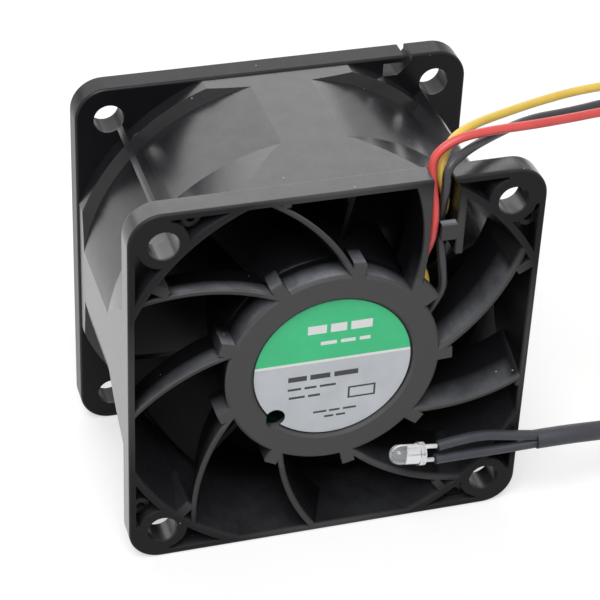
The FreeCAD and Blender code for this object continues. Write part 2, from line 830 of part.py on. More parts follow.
def front_insulator():
    """The front spider, with posts between the poles that carry the circuit board."""
    post_at = TUBE_BOSS_R + COIL_GAP + POST_R
    foot = CORE_FRONT + FIT
    post = fused([
        disc(POST_R, foot, BOARD_REAR, post_at),
        block(CORE_BORE + CORE_RING / 2, post_at, -POST_R, POST_R, foot, foot + INSULATOR),
    ])
    return fused([*insulator(foot, 1), *around(post, POLES, 180 / POLES)])


def rear_insulator():
    return fused(insulator(CORE_REAR - FIT, -1))


def windings():
    """One coil on each pole, wound over the insulators' arms."""
    inner_y = POLE_NECK / 2 + INSULATOR / 2 + COIL_GAP
    outer_y = inner_y + COIL
    near = CORE_RING_R + INSULATOR / 2 + COIL_GAP
    far = math.sqrt((STATOR_R - SHOE) ** 2 - outer_y ** 2) - COIL_GAP
    low = CORE_REAR - INSULATOR - COIL_GAP
    high = CORE_FRONT + INSULATOR + COIL_GAP
    body = block(near, far, -outer_y, outer_y, low - COIL, high + COIL)
    body = body.makeFillet(COIL * 0.9, [e for e in body.Edges if abs(e.tangentAt(e.FirstParameter).x) > 0.5])
    coil = body.cut(block(near, far, -inner_y, inner_y, low, high))
    return Part.makeCompound(around(coil, POLES))


# Circuit board

def circuit_board():
    return ring(BOARD_R, BOARD_BORE, BOARD_REAR, BOARD_FRONT)


def on_board(size, angles, radius):
    """Small soldered parts on the board's front, at these angles."""
    length, width, height = size
    part = block(-width / 2, width / 2, -length / 2, length / 2, BOARD_FRONT, BOARD_FRONT + height)
    part.translate(Vec(radius, 0, 0))
    return Part.makeCompound([spun(part, angle) for angle in angles])


def position_sensor():
    length, width, height = SENSOR
    part = block(-width / 2, width / 2, -length / 2, length / 2, BOARD_REAR - height, BOARD_REAR)
    part.translate(Vec(MAGNET_R - MAGNET / 2, 0, 0))
    return spun(part, 180 / POLES)


def solder_joints():
    """A block of solder at the inner end of each lead, square to the lead's first run."""
    length, width, height = JOINT
    joints = []
    for points in (RED_POINTS, BLACK_POINTS, YELLOW_POINTS):
        (x0, y0, z0), (x1, y1, z1) = points[:2]
        joint = block(-length, 0, -width / 2, width / 2, BOARD_FRONT, BOARD_FRONT + height)
        joint.rotate(Vec(), AXIS, math.degrees(math.atan2(z1 - z0, x1 - x0)))
        joint.translate(Vec(x0, z0 - HALF, 0))
        joints.append(joint)
    return Part.makeCompound(joints)


def label():
    """A round film, punched out over the sight hole."""
    return disc(LABEL_R, PLATE_FRONT, PLATE_FRONT + LABEL).cut(sight_hole(SIGHT_HOLE_R))


# Leads, lamp and connector, in the standing frame

def tube(name, points, diameter):
    """A cord along straight runs and tangent arcs, each arc as large as its two runs allow."""
    corners = [Vec(*p) for p in points]
    edges = []
    radii = []
    start = corners[0]
    for before, corner, after in zip(corners, corners[1:], corners[2:]):
        back = (before - corner).normalize()
        ahead = (after - corner).normalize()
        turn = math.pi - back.getAngle(ahead)
        trim = 0.45 * min((before - corner).Length, (after - corner).Length)
        radius = trim / math.tan(turn / 2)
        middle = (back + ahead).normalize()
        apex = corner + middle * (radius / math.cos(turn / 2) - radius)
        edges.append(Part.makeLine(start, corner + back * trim))
        edges.append(Part.Arc(corner + back * trim, apex, corner + ahead * trim).toShape())
        radii.append(radius)
        start = corner + ahead * trim
    edges.append(Part.makeLine(start, corners[-1]))
    path = Part.Wire(edges)
    section = Part.Wire(Part.makeCircle(diameter / 2, corners[0], corners[1] - corners[0]))
    cord = path.makePipeShell([section], True, True)
    expected = path.Length * math.pi * diameter ** 2 / 4
    print(f"{name}: {path.Length:.1f} mm, radii {min(radii):.1f} to {max(radii):.1f} mm,"
          f" volume {cord.Volume / expected:.4f} of section times length")
    return cord


def along_lamp(shape):
    """A shape drawn with its tip at the origin and its length along +z, laid along the lamp's axis."""
    copy = shape.copy()
    copy.rotate(Vec(), Vec(0, 1, 0), 90 + LAMP_TILT)
    copy.translate(LAMP_TIP)
    return copy


def lamp_lens():
    """A round-nosed clear body with a rim at its base."""
    nose = Part.makeSphere(LAMP_R, Vec(0, 0, LAMP_R))
    body = disc(LAMP_R, LAMP_R, LAMP_LENGTH)
    rim = disc(LAMP_R + LAMP_RIM, LAMP_LENGTH - LAMP_RIM_LENGTH, LAMP_LENGTH)
    return along_lamp(fused([nose, body, rim]))


def lamp_legs():
    legs = [disc(LEG_R, LAMP_LENGTH, LAMP_LENGTH + LEG_LENGTH, side * LEG_SPREAD) for side in (-1, 1)]
    return Part.makeCompound([along_lamp(leg) for leg in legs])


def lamp_sleeves():
    upper = tube("upper lamp sleeve", UPPER_SLEEVE_POINTS, SLEEVE)
    lower = tube("lower lamp sleeve", LOWER_SLEEVE_POINTS, SLEEVE)
    return Part.makeCompound([upper, lower])


def lead_ends():
    return [Vec(*points[-1]) for points in (RED_POINTS, BLACK_POINTS, YELLOW_POINTS, CABLE_POINTS)]


def connector_housing():
    """A shroud open at its mating end, with a floor that the leads enter."""
    ends = lead_ends()
    back = ends[0].x
    low = min(e.y for e in ends) - PLUG_SIDE
    high = max(e.y for e in ends) + PLUG_SIDE
    body = block(back, back + PLUG_LENGTH, low, high, 0, PLUG_HEIGHT)
    along = [e for e in body.Edges if abs(e.tangentAt(e.FirstParameter).x) > 0.5]
    body = body.makeFillet(PLUG_WALL / 2, along)
    mouth = block(back + PLUG_LENGTH / 2, back + PLUG_LENGTH, low + PLUG_WALL, high - PLUG_WALL,
                  PLUG_WALL, PLUG_HEIGHT - PLUG_WALL)
    middle = (low + high) / 2
    heel = back + PLUG_LENGTH / 2
    ramp = [
        Vec(heel, middle - LATCH_WIDTH / 2, PLUG_HEIGHT),
        Vec(heel + PLUG_LENGTH / 4, middle - LATCH_WIDTH / 2, PLUG_HEIGHT),
        Vec(heel, middle - LATCH_WIDTH / 2, PLUG_HEIGHT + LATCH_HEIGHT),
    ]
    latch = solid_of(ramp, lambda face: face.extrude(Vec(0, LATCH_WIDTH, 0)))
    return fused([body, latch]).cut([mouth, *terminal_pins(FIT)])


def terminal_pins(room):
    """One square pin for each lead end, grown by some room on each side."""
    half = TERMINAL / 2 + room
    pins = []
    for end in lead_ends():
        pin = square_bar(half, PLUG_LENGTH / 4 - room, TERMINAL_REACH)
        pin.rotate(Vec(), Vec(0, 1, 0), 90)
        pin.translate(end)
        pins.append(pin)
    return pins


def connector_terminals():
    return Part.makeCompound(terminal_pins(0))


# Every node, drawn along the axis or already standing

DRAWN = {
    "housing": housing,
    "label": label,
    "bearing_tube": bearing_tube,
    "front_outer_race": lambda: outer_race(FRONT_BEARING),
    "rear_outer_race": lambda: outer_race(REAR_BEARING),
    "front_bearing_shields": lambda: shields(FRONT_BEARING),
    "rear_bearing_shields": lambda: shields(REAR_BEARING),
    "stator_core": stator_core,
    "front_insulator": front_insulator,
    "rear_insulator": rear_insulator,
    "windings": windings,
    "circuit_board": circuit_board,
    "drive_chip": lambda: on_board(CHIP, [200], PART_R),
    "switching_transistors": lambda: on_board(TRANSISTOR, [80, 110, 250, 280], PART_R),
    "capacitors": lambda: on_board(CAPACITOR, [140, 160, 310], PART_R),
    "position_sensor": position_sensor,
    "solder_joints": solder_joints,
    "impeller": impeller,
    "rotor_yoke": rotor_yoke,
    "ring_magnet": ring_magnet,
    "hub_bush": hub_bush,
    "shaft": shaft,
    "retaining_clip": retaining_clip,
    "preload_spring": preload_spring,
    "front_inner_race": lambda: inner_race(FRONT_BEARING),
    "rear_inner_race": lambda: inner_race(REAR_BEARING),
    "front_balls": lambda: ball_set(FRONT_BEARING),
    "rear_balls": lambda: ball_set(REAR_BEARING),
}
LAID = {
    "red_lead": lambda: tube("red lead", RED_POINTS, LEAD),
    "black_lead": lambda: tube("black lead", BLACK_POINTS, LEAD),
    "yellow_lead": lambda: tube("yellow lead", YELLOW_POINTS, LEAD),
    "lamp_lens": lamp_lens,
    "lamp_legs": lamp_legs,
    "lamp_sleeves": lamp_sleeves,
    "lamp_cable": lambda: tube("lamp cable", CABLE_POINTS, LAMP_CABLE),
    "connector_housing": connector_housing,
    "connector_terminals": connector_terminals,
}

os.makedirs("parts", exist_ok=True)
for node, make in DRAWN.items():
    standing(make()).exportStep(f"parts/{node}.step")
for node, make in LAID.items():
    make().exportStep(f"parts/{node}.step")
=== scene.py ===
"""Looks of a 60 mm cooling fan: finishes, leads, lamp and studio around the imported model."""

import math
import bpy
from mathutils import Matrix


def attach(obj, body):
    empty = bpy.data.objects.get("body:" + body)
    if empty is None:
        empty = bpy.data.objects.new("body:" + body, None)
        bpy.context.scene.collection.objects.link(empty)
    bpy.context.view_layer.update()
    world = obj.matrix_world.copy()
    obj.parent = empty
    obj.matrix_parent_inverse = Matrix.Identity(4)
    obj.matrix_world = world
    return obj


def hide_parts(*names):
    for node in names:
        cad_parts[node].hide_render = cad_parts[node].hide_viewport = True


bl_info = {
    "name": "Cooling Fan Looks",
    "version": (1, 0, 0),
    "blender": (4, 5, 0),
    "location": "View3D > Sidebar > Fan",
    "description": "Finishes, leads, lamp and studio for the packed cooling fan",
    "category": "Object",
}

import bpy
from bpy.props import FloatProperty, FloatVectorProperty, PointerProperty
from mathutils import Matrix, Vector

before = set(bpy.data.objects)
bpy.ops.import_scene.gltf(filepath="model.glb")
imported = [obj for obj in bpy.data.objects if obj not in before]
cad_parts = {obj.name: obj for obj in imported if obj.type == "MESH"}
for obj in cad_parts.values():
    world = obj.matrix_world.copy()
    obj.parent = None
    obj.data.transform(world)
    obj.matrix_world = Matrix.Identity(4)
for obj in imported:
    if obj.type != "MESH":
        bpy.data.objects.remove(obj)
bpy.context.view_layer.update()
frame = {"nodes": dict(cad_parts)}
nodes = frame["nodes"]

AXIS_HEIGHT = 0.030

# The picture's middle, across and up from the fan's, in metres, and the camera's sensor in millimetres
PICTURE_SHIFT = (0.000519, -0.000780)
SENSOR_WIDTH = 36
NEAR_CLIP = 0.01

# Softboxes and paper floor, in metres
KEY_SPOT = (-0.157, -0.336, 0.624)
KEY_SIZE = (0.50, 0.50)
BACK_SPOT = (-0.06, 0.60, 0.40)
BACK_SIZE = (0.90, 0.42)
PAPER_SIZE = 6
PAPER_DROP = 0.00005
PAPER_FADE = (0.15, 0.8)

# Routes of the leads and the lamp cable, in metres
RED_ROUTE = [
    (0.011084, -0.0160, 0.036792),
    (0.0132, -0.0160, 0.0402),
    (0.01355, -0.0150, 0.0442),
    (0.01382, -0.0175, 0.0492),
    (0.01385, -0.0180, 0.0530),
    (0.01375, -0.0173, 0.0562),
    (0.0137, -0.0157, 0.0592),
    (0.0141, -0.0152, 0.0618),
    (0.0172, -0.0150, 0.0638),
    (0.0222, -0.0145, 0.0641),
    (0.0290, -0.0133, 0.0634),
    (0.0365, -0.0120, 0.0630),
    (0.0445, -0.0100, 0.0623),
    (0.0525, -0.0084, 0.0592),
    (0.0555, -0.0072, 0.0495),
    (0.0565, -0.0060, 0.0385),
    (0.0558, -0.0050, 0.0265),
    (0.0558, -0.0042, 0.0150),
    (0.0585, -0.0039, 0.0065),
    (0.0640, -0.0038, 0.0030),
    (0.0690, -0.0038, 0.0030),
]
BLACK_ROUTE = [
    (0.012682, -0.0160, 0.032858),
    (0.0169, -0.0160, 0.0383),
    (0.0160, -0.0172, 0.0436),
    (0.0156, -0.0163, 0.0479),
    (0.0153, -0.0163, 0.0514),
    (0.0153, -0.0169, 0.0547),
    (0.01505, -0.0182, 0.0578),
    (0.0150, -0.0180, 0.0613),
    (0.0182, -0.0164, 0.0625),
    (0.0232, -0.0128, 0.0620),
    (0.0302, -0.0090, 0.0617),
    (0.0375, -0.0072, 0.0609),
    (0.0456, -0.0052, 0.0607),
    (0.0520, -0.0033, 0.0570),
    (0.0559, -0.0027, 0.0486),
    (0.0569, -0.0021, 0.0380),
    (0.0563, -0.0017, 0.0265),
    (0.0562, -0.0014, 0.0150),
    (0.0587, -0.0013, 0.0066),
    (0.0640, -0.0013, 0.0030),
    (0.0690, -0.0013, 0.0030),
]
YELLOW_ROUTE = [
    (0.012045, -0.0160, 0.034891),
    (0.01495, -0.0160, 0.0393),
    (0.0134, -0.0128, 0.0440),
    (0.0159, -0.0143, 0.0498),
    (0.0163, -0.0158, 0.0542),
    (0.0151, -0.0148, 0.0585),
    (0.0172, -0.0122, 0.0617),
    (0.0212, -0.0098, 0.0623),
    (0.0270, -0.0067, 0.0616),
    (0.0338, -0.0039, 0.0612),
    (0.0412, -0.0018, 0.0610),
    (0.0487, 0.0000, 0.0601),
    (0.0536, 0.0009, 0.0544),
    (0.0565, 0.0012, 0.0454),
    (0.0572, 0.0013, 0.0348),
    (0.0566, 0.0012, 0.0240),
    (0.0568, 0.0012, 0.0134),
    (0.0592, 0.0012, 0.0060),
    (0.0642, 0.0012, 0.0030),
    (0.0690, 0.0012, 0.0030),
]
CABLE_ROUTE = [
    (0.0690, -0.0070, 0.0030),
    (0.0648, -0.0070, 0.0030),
    (0.0606, -0.0084, 0.0032),
    (0.0564, -0.0110, 0.0043),
    (0.0522, -0.0144, 0.0066),
    (0.0476, -0.0176, 0.0093),
    (0.0424, -0.0197, 0.0113),
    (0.0370, -0.0202, 0.0120),
    (0.0324, -0.0201, 0.0119),
]
UPPER_SLEEVE_ROUTE = [
    (0.01625, -0.0209, 0.0144),
    (0.0200, -0.0206, 0.0147),
    (0.0240, -0.0201, 0.0144),
    (0.0282, -0.0199, 0.0133),
    (0.0332, -0.0201, 0.01255),
]
LOWER_SLEEVE_ROUTE = [
    (0.0160, -0.0209, 0.0119),
    (0.0200, -0.0205, 0.0116),
    (0.0242, -0.0200, 0.0111),
    (0.0284, -0.0199, 0.0110),
    (0.0332, -0.0201, 0.01125),
]

# The lamp, from its tip along its own line, in metres
LAMP_TIP = (0.00875, -0.0209, 0.0140)
LAMP_TILT = math.radians(7)
LAMP_LENGTH = 0.0053
LEG = 0.0005
LEG_LENGTH = 0.0020
LEG_SPREAD = 0.00127
POST_LENGTH = 0.0027
POST_WIDTH = 0.0009
SQUARE_ON = 0.9
SMOOTH_ANGLE = math.radians(40)

# Plain bars printed on the label: across, up, half width and half height from its middle, in metres
LABEL_WHITE_BARS = [
    (0.0, 0.0014, 0.02, 0.00022),
    (-0.0026, 0.0070, 0.0014, 0.00072),
    (0.0006, 0.0070, 0.0012, 0.00072),
    (0.0040, 0.0070, 0.0016, 0.00072),
    (-0.0008, 0.0045, 0.0012, 0.00030),
    (0.0021, 0.0045, 0.0011, 0.00030),
    (0.0046, 0.0045, 0.0008, 0.00030),
]
LABEL_INK_BARS = [
    (-0.0052, -0.0013, 0.0014, 0.00044),
    (-0.0018, -0.0013, 0.0015, 0.00044),
    (0.0021, -0.0013, 0.0018, 0.00044),
    (-0.0056, -0.0031, 0.0010, 0.00020),
    (-0.0032, -0.0031, 0.0009, 0.00020),
    (-0.0006, -0.0031, 0.0012, 0.00020),
    (-0.0052, -0.0046, 0.0012, 0.00020),
    (-0.0026, -0.0046, 0.0009, 0.00020),
    (0.0046, -0.0050, 0.0021, 0.00105),
    (-0.0016, -0.0078, 0.0010, 0.00018),
    (0.0006, -0.0078, 0.0008, 0.00018),
    (0.0029, -0.0078, 0.0010, 0.00018),
    (-0.0002, -0.0088, 0.0007, 0.00018),
    (0.0016, -0.0088, 0.0007, 0.00018),
]
LABEL_WINDOW = (0.0046, -0.0050, 0.0018, 0.00075)
LABEL_FIELD = (0.0, 0.0076, 0.02, 0.0060)
LABEL_WHITE = (0.90, 0.91, 0.91)
LABEL_RELIEF = 0.00003

# Where the housing's surface and its painted light and shade change: by distance from the axis, by depth
# and by height, in metres
BORE = (0.0282, 0.0292)
OUTER_SKIN = (0.0288, 0.0296)
BASE_RIM = (0.0179, 0.0186)
FLANGE_RIM = (0.0290, 0.0325)
VANE_FRONTS = (-0.0187, -0.0150)
OUTLET = (-0.0178, -0.0105)
FRONT_PLANE = (-0.0188, -0.0184)
FRONT_FACES = (-0.0187, -0.0182)
DUCT_RUN = (-0.010, 0.0165)
REAR_FLANGE = (0.0145, 0.0155)
UPPER_PART = (0.008, 0.046)

# The same for the blades by depth, and for a normal that leans away from straight forward
BLADE_RUN = (-0.004, 0.012)
LEAN = (-0.97, -0.85)

# Parts of a noise's or a normal's range that the shared effects use
NOISE_BAND = (0.3, 0.7)
CLOUD_BAND = (0.38, 0.66)
SPECK_EDGE = (0.03, 0.07)
SCRATCH_BAND = (0.68, 0.76)
UPWARD = (0.1, 1.0)
RARE_SPECK = 0.8
SCRATCH_TURN = (0.3, 0.5, 0.7)
DRIFT_SIZE = 0.003

# Colours of what lies on the plastic, and the most of it that shows; the pale film is a dusting, and on
# the housing also painted top light that makes up-facing faces paler
DUST_AND_TOP_LIGHT_COLOUR = (0.40, 0.415, 0.455)
DUST_AND_TOP_LIGHT_SHARE = 0.22
SPECK_COLOUR = (0.45, 0.45, 0.44)
SPECK_SHARE = 0.55
LEAD_FILM_COLOUR = (0.5, 0.5, 0.5)
LEAD_FILM_SHARE = 0.03

# Gloss of the moulded plastic: bare, under a polished skin, and the skin's unevenness
BARE_SPECULAR = 0.18
COATED_SPECULAR = 0.03
COAT_RANGE = (0.94, 1.06)
SCUFF = 0.10
BASE_DULLING = 0.35
EDGE_RADIUS = 0.00025
EDGE_SAMPLES = 6

# Metals: colour, roughness, pitch and depth of their lines, the lines' way, and change of tint
METALS = {
    "lamp_leg_tin": ((0.97, 0.97, 0.97), 0.48, 0.0002, 0.000002, "Axial", 0.03),
    "yoke_zinc": ((0.50, 0.51, 0.52), 0.34, 0.0009, 0.000003, "Axial", 0.12),
    "bush_brass": ((0.72, 0.50, 0.20), 0.26, 0.00022, 0.000003, "Axial", 0.12),
    "shaft_ground_steel": ((0.56, 0.57, 0.58), 0.16, 0.00012, 0.000001, "Axial", 0.05),
    "spring_steel": ((0.40, 0.41, 0.43), 0.24, 0.0003, 0.000002, "Axial", 0.12),
    "race_steel": ((0.58, 0.59, 0.60), 0.14, 0.00018, 0.000001, "Radial", 0.05),
    "ball_steel": ((0.66, 0.67, 0.68), 0.06, 0.0004, 0.0000002, "Radial", 0.03),
    "shield_steel": ((0.52, 0.53, 0.54), 0.30, 0.0003, 0.000002, "Radial", 0.12),
    "tube_brass": ((0.70, 0.48, 0.19), 0.28, 0.00026, 0.000003, "Axial", 0.12),
    "core_laminations": ((0.36, 0.37, 0.39), 0.42, 0.0005, 0.00003, "Axial", 0.12),
    "coil_copper": ((0.72, 0.27, 0.11), 0.28, 0.00032, 0.00008, "Radial", 0.12),
    "solder_tin": ((0.74, 0.75, 0.76), 0.22, 0.0006, 0.00001, "Round", 0.12),
    "terminal_tin": ((0.76, 0.76, 0.74), 0.26, 0.0003, 0.000002, "Axial", 0.12),
}
METAL_GRAIN = 0.6
METAL_MOTTLE = 0.003

# The plating of the lamp's legs is dull, so much of it scatters
PLATING_METALLIC = 0.15

# Insulation: roughness of the leads and of the lamp's rubber, size of the grain and of the worn patches
LEAD_ROUGHNESS = 0.36
RUBBER_ROUGHNESS = 0.48
PVC_GRAIN = 1.6
PVC_MOTTLE = 0.005
PVC_FILM = 0.003

# Clear epoxy of the lamp's lens
EPOXY_IOR = 1.52
EPOXY_CLEARNESS = 0.86

# Circuit board: relief of its tracks, in metres, and the green of lacquer, track and dark patches
TRACK_RELIEF = 0.00003
LACQUER = (0.004, 0.028, 0.014)
TRACK = (0.008, 0.050, 0.023)
LACQUER_DARK = (0.003, 0.018, 0.010)


# Sizes and colours that a user would change

def colour(name, description, default):
    """A colour property with its name and default."""
    return FloatVectorProperty(
        name=name, description=description, default=default, size=3, min=0, max=1, subtype="COLOR"
    )


def length(name, description, default):
    """A length property with its name and default."""
    return FloatProperty(
        name=name, description=description, default=default, min=0, precision=5, unit="LENGTH"
    )


def turning(name, description, degrees):
    """An angle property with its name and its default in degrees."""
    return FloatProperty(
        name=name, description=description, default=math.radians(degrees), subtype="ANGLE"
    )


def wattage(name, description, default):
    """A lamp's power property with its name and default."""
    return FloatProperty(name=name, description=description, default=default, min=0, unit="POWER")


def amount(name, description, default):
    """A plain amount, 0 or more, with its name and default."""
    return FloatProperty(name=name, description=description, default=default, min=0)


class FanFinishes(bpy.types.PropertyGroup):
    """Colours and surface depths of the fan's materials."""

    frame: colour("Frame", "Moulded plastic of the housing", (0.008, 0.008, 0.0094))
    base_face: colour("Motor Base", "Spark-eroded face of the motor base", (0.093, 0.091, 0.094))
    impeller: colour("Impeller", "Moulded plastic of the impeller", (0.007, 0.0071, 0.0084))
    label_top: colour("Label Top", "Printed upper field of the label", (0.050, 0.62, 0.26))
    label_base: colour("Label Base", "Bare film of the label", (0.62, 0.645, 0.68))
    label_ink: colour("Label Ink", "Dark ruled bars on the label", (0.035, 0.038, 0.045))
    red: colour("Red Lead", "Insulation of the supply lead", (0.77, 0.090, 0.085))
    black: colour("Black Lead", "Insulation of the return lead", (0.029, 0.030, 0.035))
    yellow: colour("Yellow Lead", "Insulation of the signal lead", (0.89, 0.63, 0.105))
    sleeve: colour("Sleeve", "Rubber of the lamp sleeves and cable", (0.031, 0.035, 0.045))
    nylon: colour("Nylon", "Moulded connector housing", (0.66, 0.64, 0.58))
    grain_size: length("Grain Size", "Width of one moulding grain", 0.00035)
    grain_depth: length("Grain Depth", "Depth of the moulding grain", 0.000012)


class FanCords(bpy.types.PropertyGroup):
    """Sizes of the leads, the lamp sleeves and the lamp cable."""

    lead: length("Lead", "Diameter of a lead's insulation", 0.0013)
    sleeve: length("Sleeve", "Diameter of a lamp sleeve", 0.0016)
    cable: length("Cable", "Diameter of the lamp cable", 0.0030)


class FanStudio(bpy.types.PropertyGroup):
    """Camera, lamps and floor."""

    azimuth: turning("Azimuth", "Camera's turn round the fan", -18.003)
    elevation: turning("Elevation", "Camera's height angle", 35.295)
    roll: turning("Roll", "Camera's turn about its own line", 2.684)
    distance: length("Distance", "From the fan's middle to the camera", 0.333638)
    lens: FloatProperty(name="Lens", description="Focal length in millimetres", default=134.05, min=1)
    key_power: wattage("Key", "Front softbox", 4.6)
    back_power: wattage("Back", "Softbox above and behind", 2.1)
    world_light: amount("World Light", "Level of the light all round", 0.12)
    floor: colour("Floor", "Paper under the fan", (0.55, 0.55, 0.55))
    floor_lift: amount("Floor Lift", "Glow of the paper as seen", 0.55)


# Node tools

def place(tree, kind, values=None, **settings):
    """A new node with its settings and the values of its unlinked inputs."""
    made = tree.nodes.new(kind)
    for key, value in settings.items():
        setattr(made, key, value)
    for key, value in (values or {}).items():
        made.inputs[key].default_value = value
    return made


def math_of(tree, operation, first, second=None):
    """A Math node; each operand is a socket or a number."""
    made = place(tree, "ShaderNodeMath", operation=operation)
    for slot, value in zip(made.inputs, (first, second)):
        if isinstance(value, bpy.types.NodeSocket):
            tree.links.new(value, slot)
        elif value is not None:
            slot.default_value = value
    return made.outputs[0]


def spread(tree, value, low, high, start=0.0, end=1.0):
    """A value from start to end carried over to low to high."""
    made = place(
        tree, "ShaderNodeMapRange",
        {"From Min": start, "From Max": end, "To Min": low, "To Max": high},
    )
    tree.links.new(value, made.inputs["Value"])
    return made.outputs["Result"]


def blend(tree, factor, first, second):
    """A mix of two colours; each is a socket or a colour."""
    made = place(tree, "ShaderNodeMix", data_type="RGBA")
    for slot, value in zip((made.inputs[0], made.inputs[6], made.inputs[7]), (factor, first, second)):
        if isinstance(value, bpy.types.NodeSocket):
            tree.links.new(value, slot)
        elif isinstance(value, (int, float)):
            slot.default_value = value
        else:
            slot.default_value = (*value, 1.0)
    return made.outputs[2]


def shade_of(base, share):
    """A colour made lighter or darker by a share."""
    return tuple(min(1.0, channel * share) for channel in base)


def new_group(name, inputs, outputs):
    """An empty shader group with named float sockets, its input node and its output node."""
    group = bpy.data.node_groups.new(name, "ShaderNodeTree")
    for label, default in inputs:
        socket = group.interface.new_socket(name=label, in_out="INPUT", socket_type="NodeSocketFloat")
        socket.default_value = default
    for label in outputs:
        group.interface.new_socket(name=label, in_out="OUTPUT", socket_type="NodeSocketFloat")
    return group, group.nodes.new("NodeGroupInput"), group.nodes.new("NodeGroupOutput")


def use_group(tree, name, values):
    """A shared effect placed in a material with its own values."""
    made = tree.nodes.new("ShaderNodeGroup")
    made.node_tree = bpy.data.node_groups[name]
    for key, value in values.items():
        made.inputs[key].default_value = value
    return made


def parts_of(tree, kind="Object"):
    """X, Y and Z of the object's coordinates, or of its normal."""
    coords = place(tree, "ShaderNodeTexCoord")
    parts = place(tree, "ShaderNodeSeparateXYZ")
    tree.links.new(coords.outputs[kind], parts.inputs[0])
    return parts.outputs


def sized_coords(tree, size):
    """Object coordinates counted in widths of the given size."""
    coords = place(tree, "ShaderNodeTexCoord")
    rate = math_of(tree, "DIVIDE", 1.0, size)
    scaled = place(tree, "ShaderNodeVectorMath", operation="SCALE")
    tree.links.new(coords.outputs["Object"], scaled.inputs[0])
    tree.links.new(rate, scaled.inputs["Scale"])
    return scaled.outputs[0]


def noise_at(tree, vector, detail, roughness=0.5):
    """Fractal noise on a vector, about 0 to 1."""
    made = place(tree, "ShaderNodeTexNoise", {"Scale": 1.0, "Detail": detail, "Roughness": roughness})
    tree.links.new(vector, made.inputs["Vector"])
    return made.outputs["Fac"]


# Shared effects

def make_moulded_grain():
    """Fine skin of a moulding, with slow changes of tone and of polish."""
    group, given, result = new_group(
        "Moulded Grain", [("Grain Size", 0.0004), ("Mottle Size", 0.006)], ["Height", "Tone", "Polish"]
    )
    fine = noise_at(group, sized_coords(group, given.outputs["Grain Size"]), 2.0)
    slow = noise_at(group, sized_coords(group, given.outputs["Mottle Size"]), 3.0, 0.55)
    middle_size = math_of(group, "MULTIPLY", given.outputs["Mottle Size"], 0.31)
    middle = noise_at(group, sized_coords(group, middle_size), 4.0, 0.6)
    group.links.new(fine, result.inputs["Height"])
    group.links.new(spread(group, slow, 0.0, 1.0, *NOISE_BAND), result.inputs["Tone"])
    group.links.new(spread(group, middle, 0.0, 1.0, *NOISE_BAND), result.inputs["Polish"])


def make_dust_and_top_light():
    """A pale film on what faces up, which is a dusting and, where a finish uses much of it, painted top
    light, with a few larger specks.
    """
    group, given, result = new_group(
        "Dust and Top Light", [("Film Size", 0.004), ("Speck Size", 0.0022)], ["Film", "Specks"]
    )
    facing = spread(group, parts_of(group, "Normal")["Z"], 0.0, 1.0, *UPWARD)
    cloud = noise_at(group, sized_coords(group, given.outputs["Film Size"]), 5.0, 0.65)
    cloud = spread(group, cloud, 0.55, 1.0, *CLOUD_BAND)
    group.links.new(math_of(group, "MULTIPLY", facing, cloud), result.inputs["Film"])
    cells = place(group, "ShaderNodeTexVoronoi", {"Scale": 1.0, "Randomness": 1.0})
    group.links.new(sized_coords(group, given.outputs["Speck Size"]), cells.inputs["Vector"])
    chosen = place(group, "ShaderNodeSeparateColor")
    group.links.new(cells.outputs["Color"], chosen.inputs[0])
    rare = math_of(group, "GREATER_THAN", chosen.outputs[0], RARE_SPECK)
    dot = spread(group, cells.outputs["Distance"], 1.0, 0.0, *SPECK_EDGE)
    group.links.new(math_of(group, "MULTIPLY", rare, dot), result.inputs["Specks"])


def make_hair_lines():
    """Fine handling scratches that run across the fan."""
    group, given, result = new_group("Hair Lines", [("Width", 0.00012), ("Reach", 0.006)], ["Lines"])
    coords = place(group, "ShaderNodeTexCoord")
    turned = place(group, "ShaderNodeMapping", {"Rotation": SCRATCH_TURN})
    group.links.new(coords.outputs["Object"], turned.inputs["Vector"])
    parts = place(group, "ShaderNodeSeparateXYZ")
    group.links.new(turned.outputs[0], parts.inputs[0])
    joined = place(group, "ShaderNodeCombineXYZ")
    for axis, size in (("X", "Width"), ("Y", "Reach"), ("Z", "Width")):
        counted = math_of(group, "DIVIDE", parts.outputs[axis], given.outputs[size])
        group.links.new(counted, joined.inputs[axis])
    streaks = noise_at(group, joined.outputs[0], 1.0)
    group.links.new(spread(group, streaks, 0.0, 1.0, *SCRATCH_BAND), result.inputs["Lines"])


def make_axis_lines():
    """Bands by the distance from the fan's axis, and bands along the axis."""
    group, given, result = new_group(
        "Axis Lines", [("Pitch", 0.0004), ("Wander", 0.15)], ["Radial", "Axial", "Round", "Radius"]
    )
    parts = parts_of(group)
    height = math_of(group, "SUBTRACT", parts["Z"], AXIS_HEIGHT)
    across = math_of(group, "MULTIPLY", parts["X"], parts["X"])
    up = math_of(group, "MULTIPLY", height, height)
    radius = math_of(group, "SQRT", math_of(group, "ADD", across, up))
    group.links.new(radius, result.inputs["Radius"])
    drift = noise_at(group, sized_coords(group, DRIFT_SIZE), 2.0)
    drift = math_of(group, "MULTIPLY", drift, given.outputs["Wander"])
    for label, value in (("Radial", radius), ("Axial", parts["Y"])):
        turns = math_of(group, "DIVIDE", value, given.outputs["Pitch"])
        phase = math_of(group, "MULTIPLY", math_of(group, "ADD", turns, drift), math.tau)
        wave = math_of(group, "SINE", phase)
        group.links.new(spread(group, wave, 0.0, 1.0, -1.0, 1.0), result.inputs[label])
    angle = math_of(group, "ARCTAN2", height, parts["X"])
    group.links.new(spread(group, angle, 0.0, 1.0, -math.pi, math.pi), result.inputs["Round"])


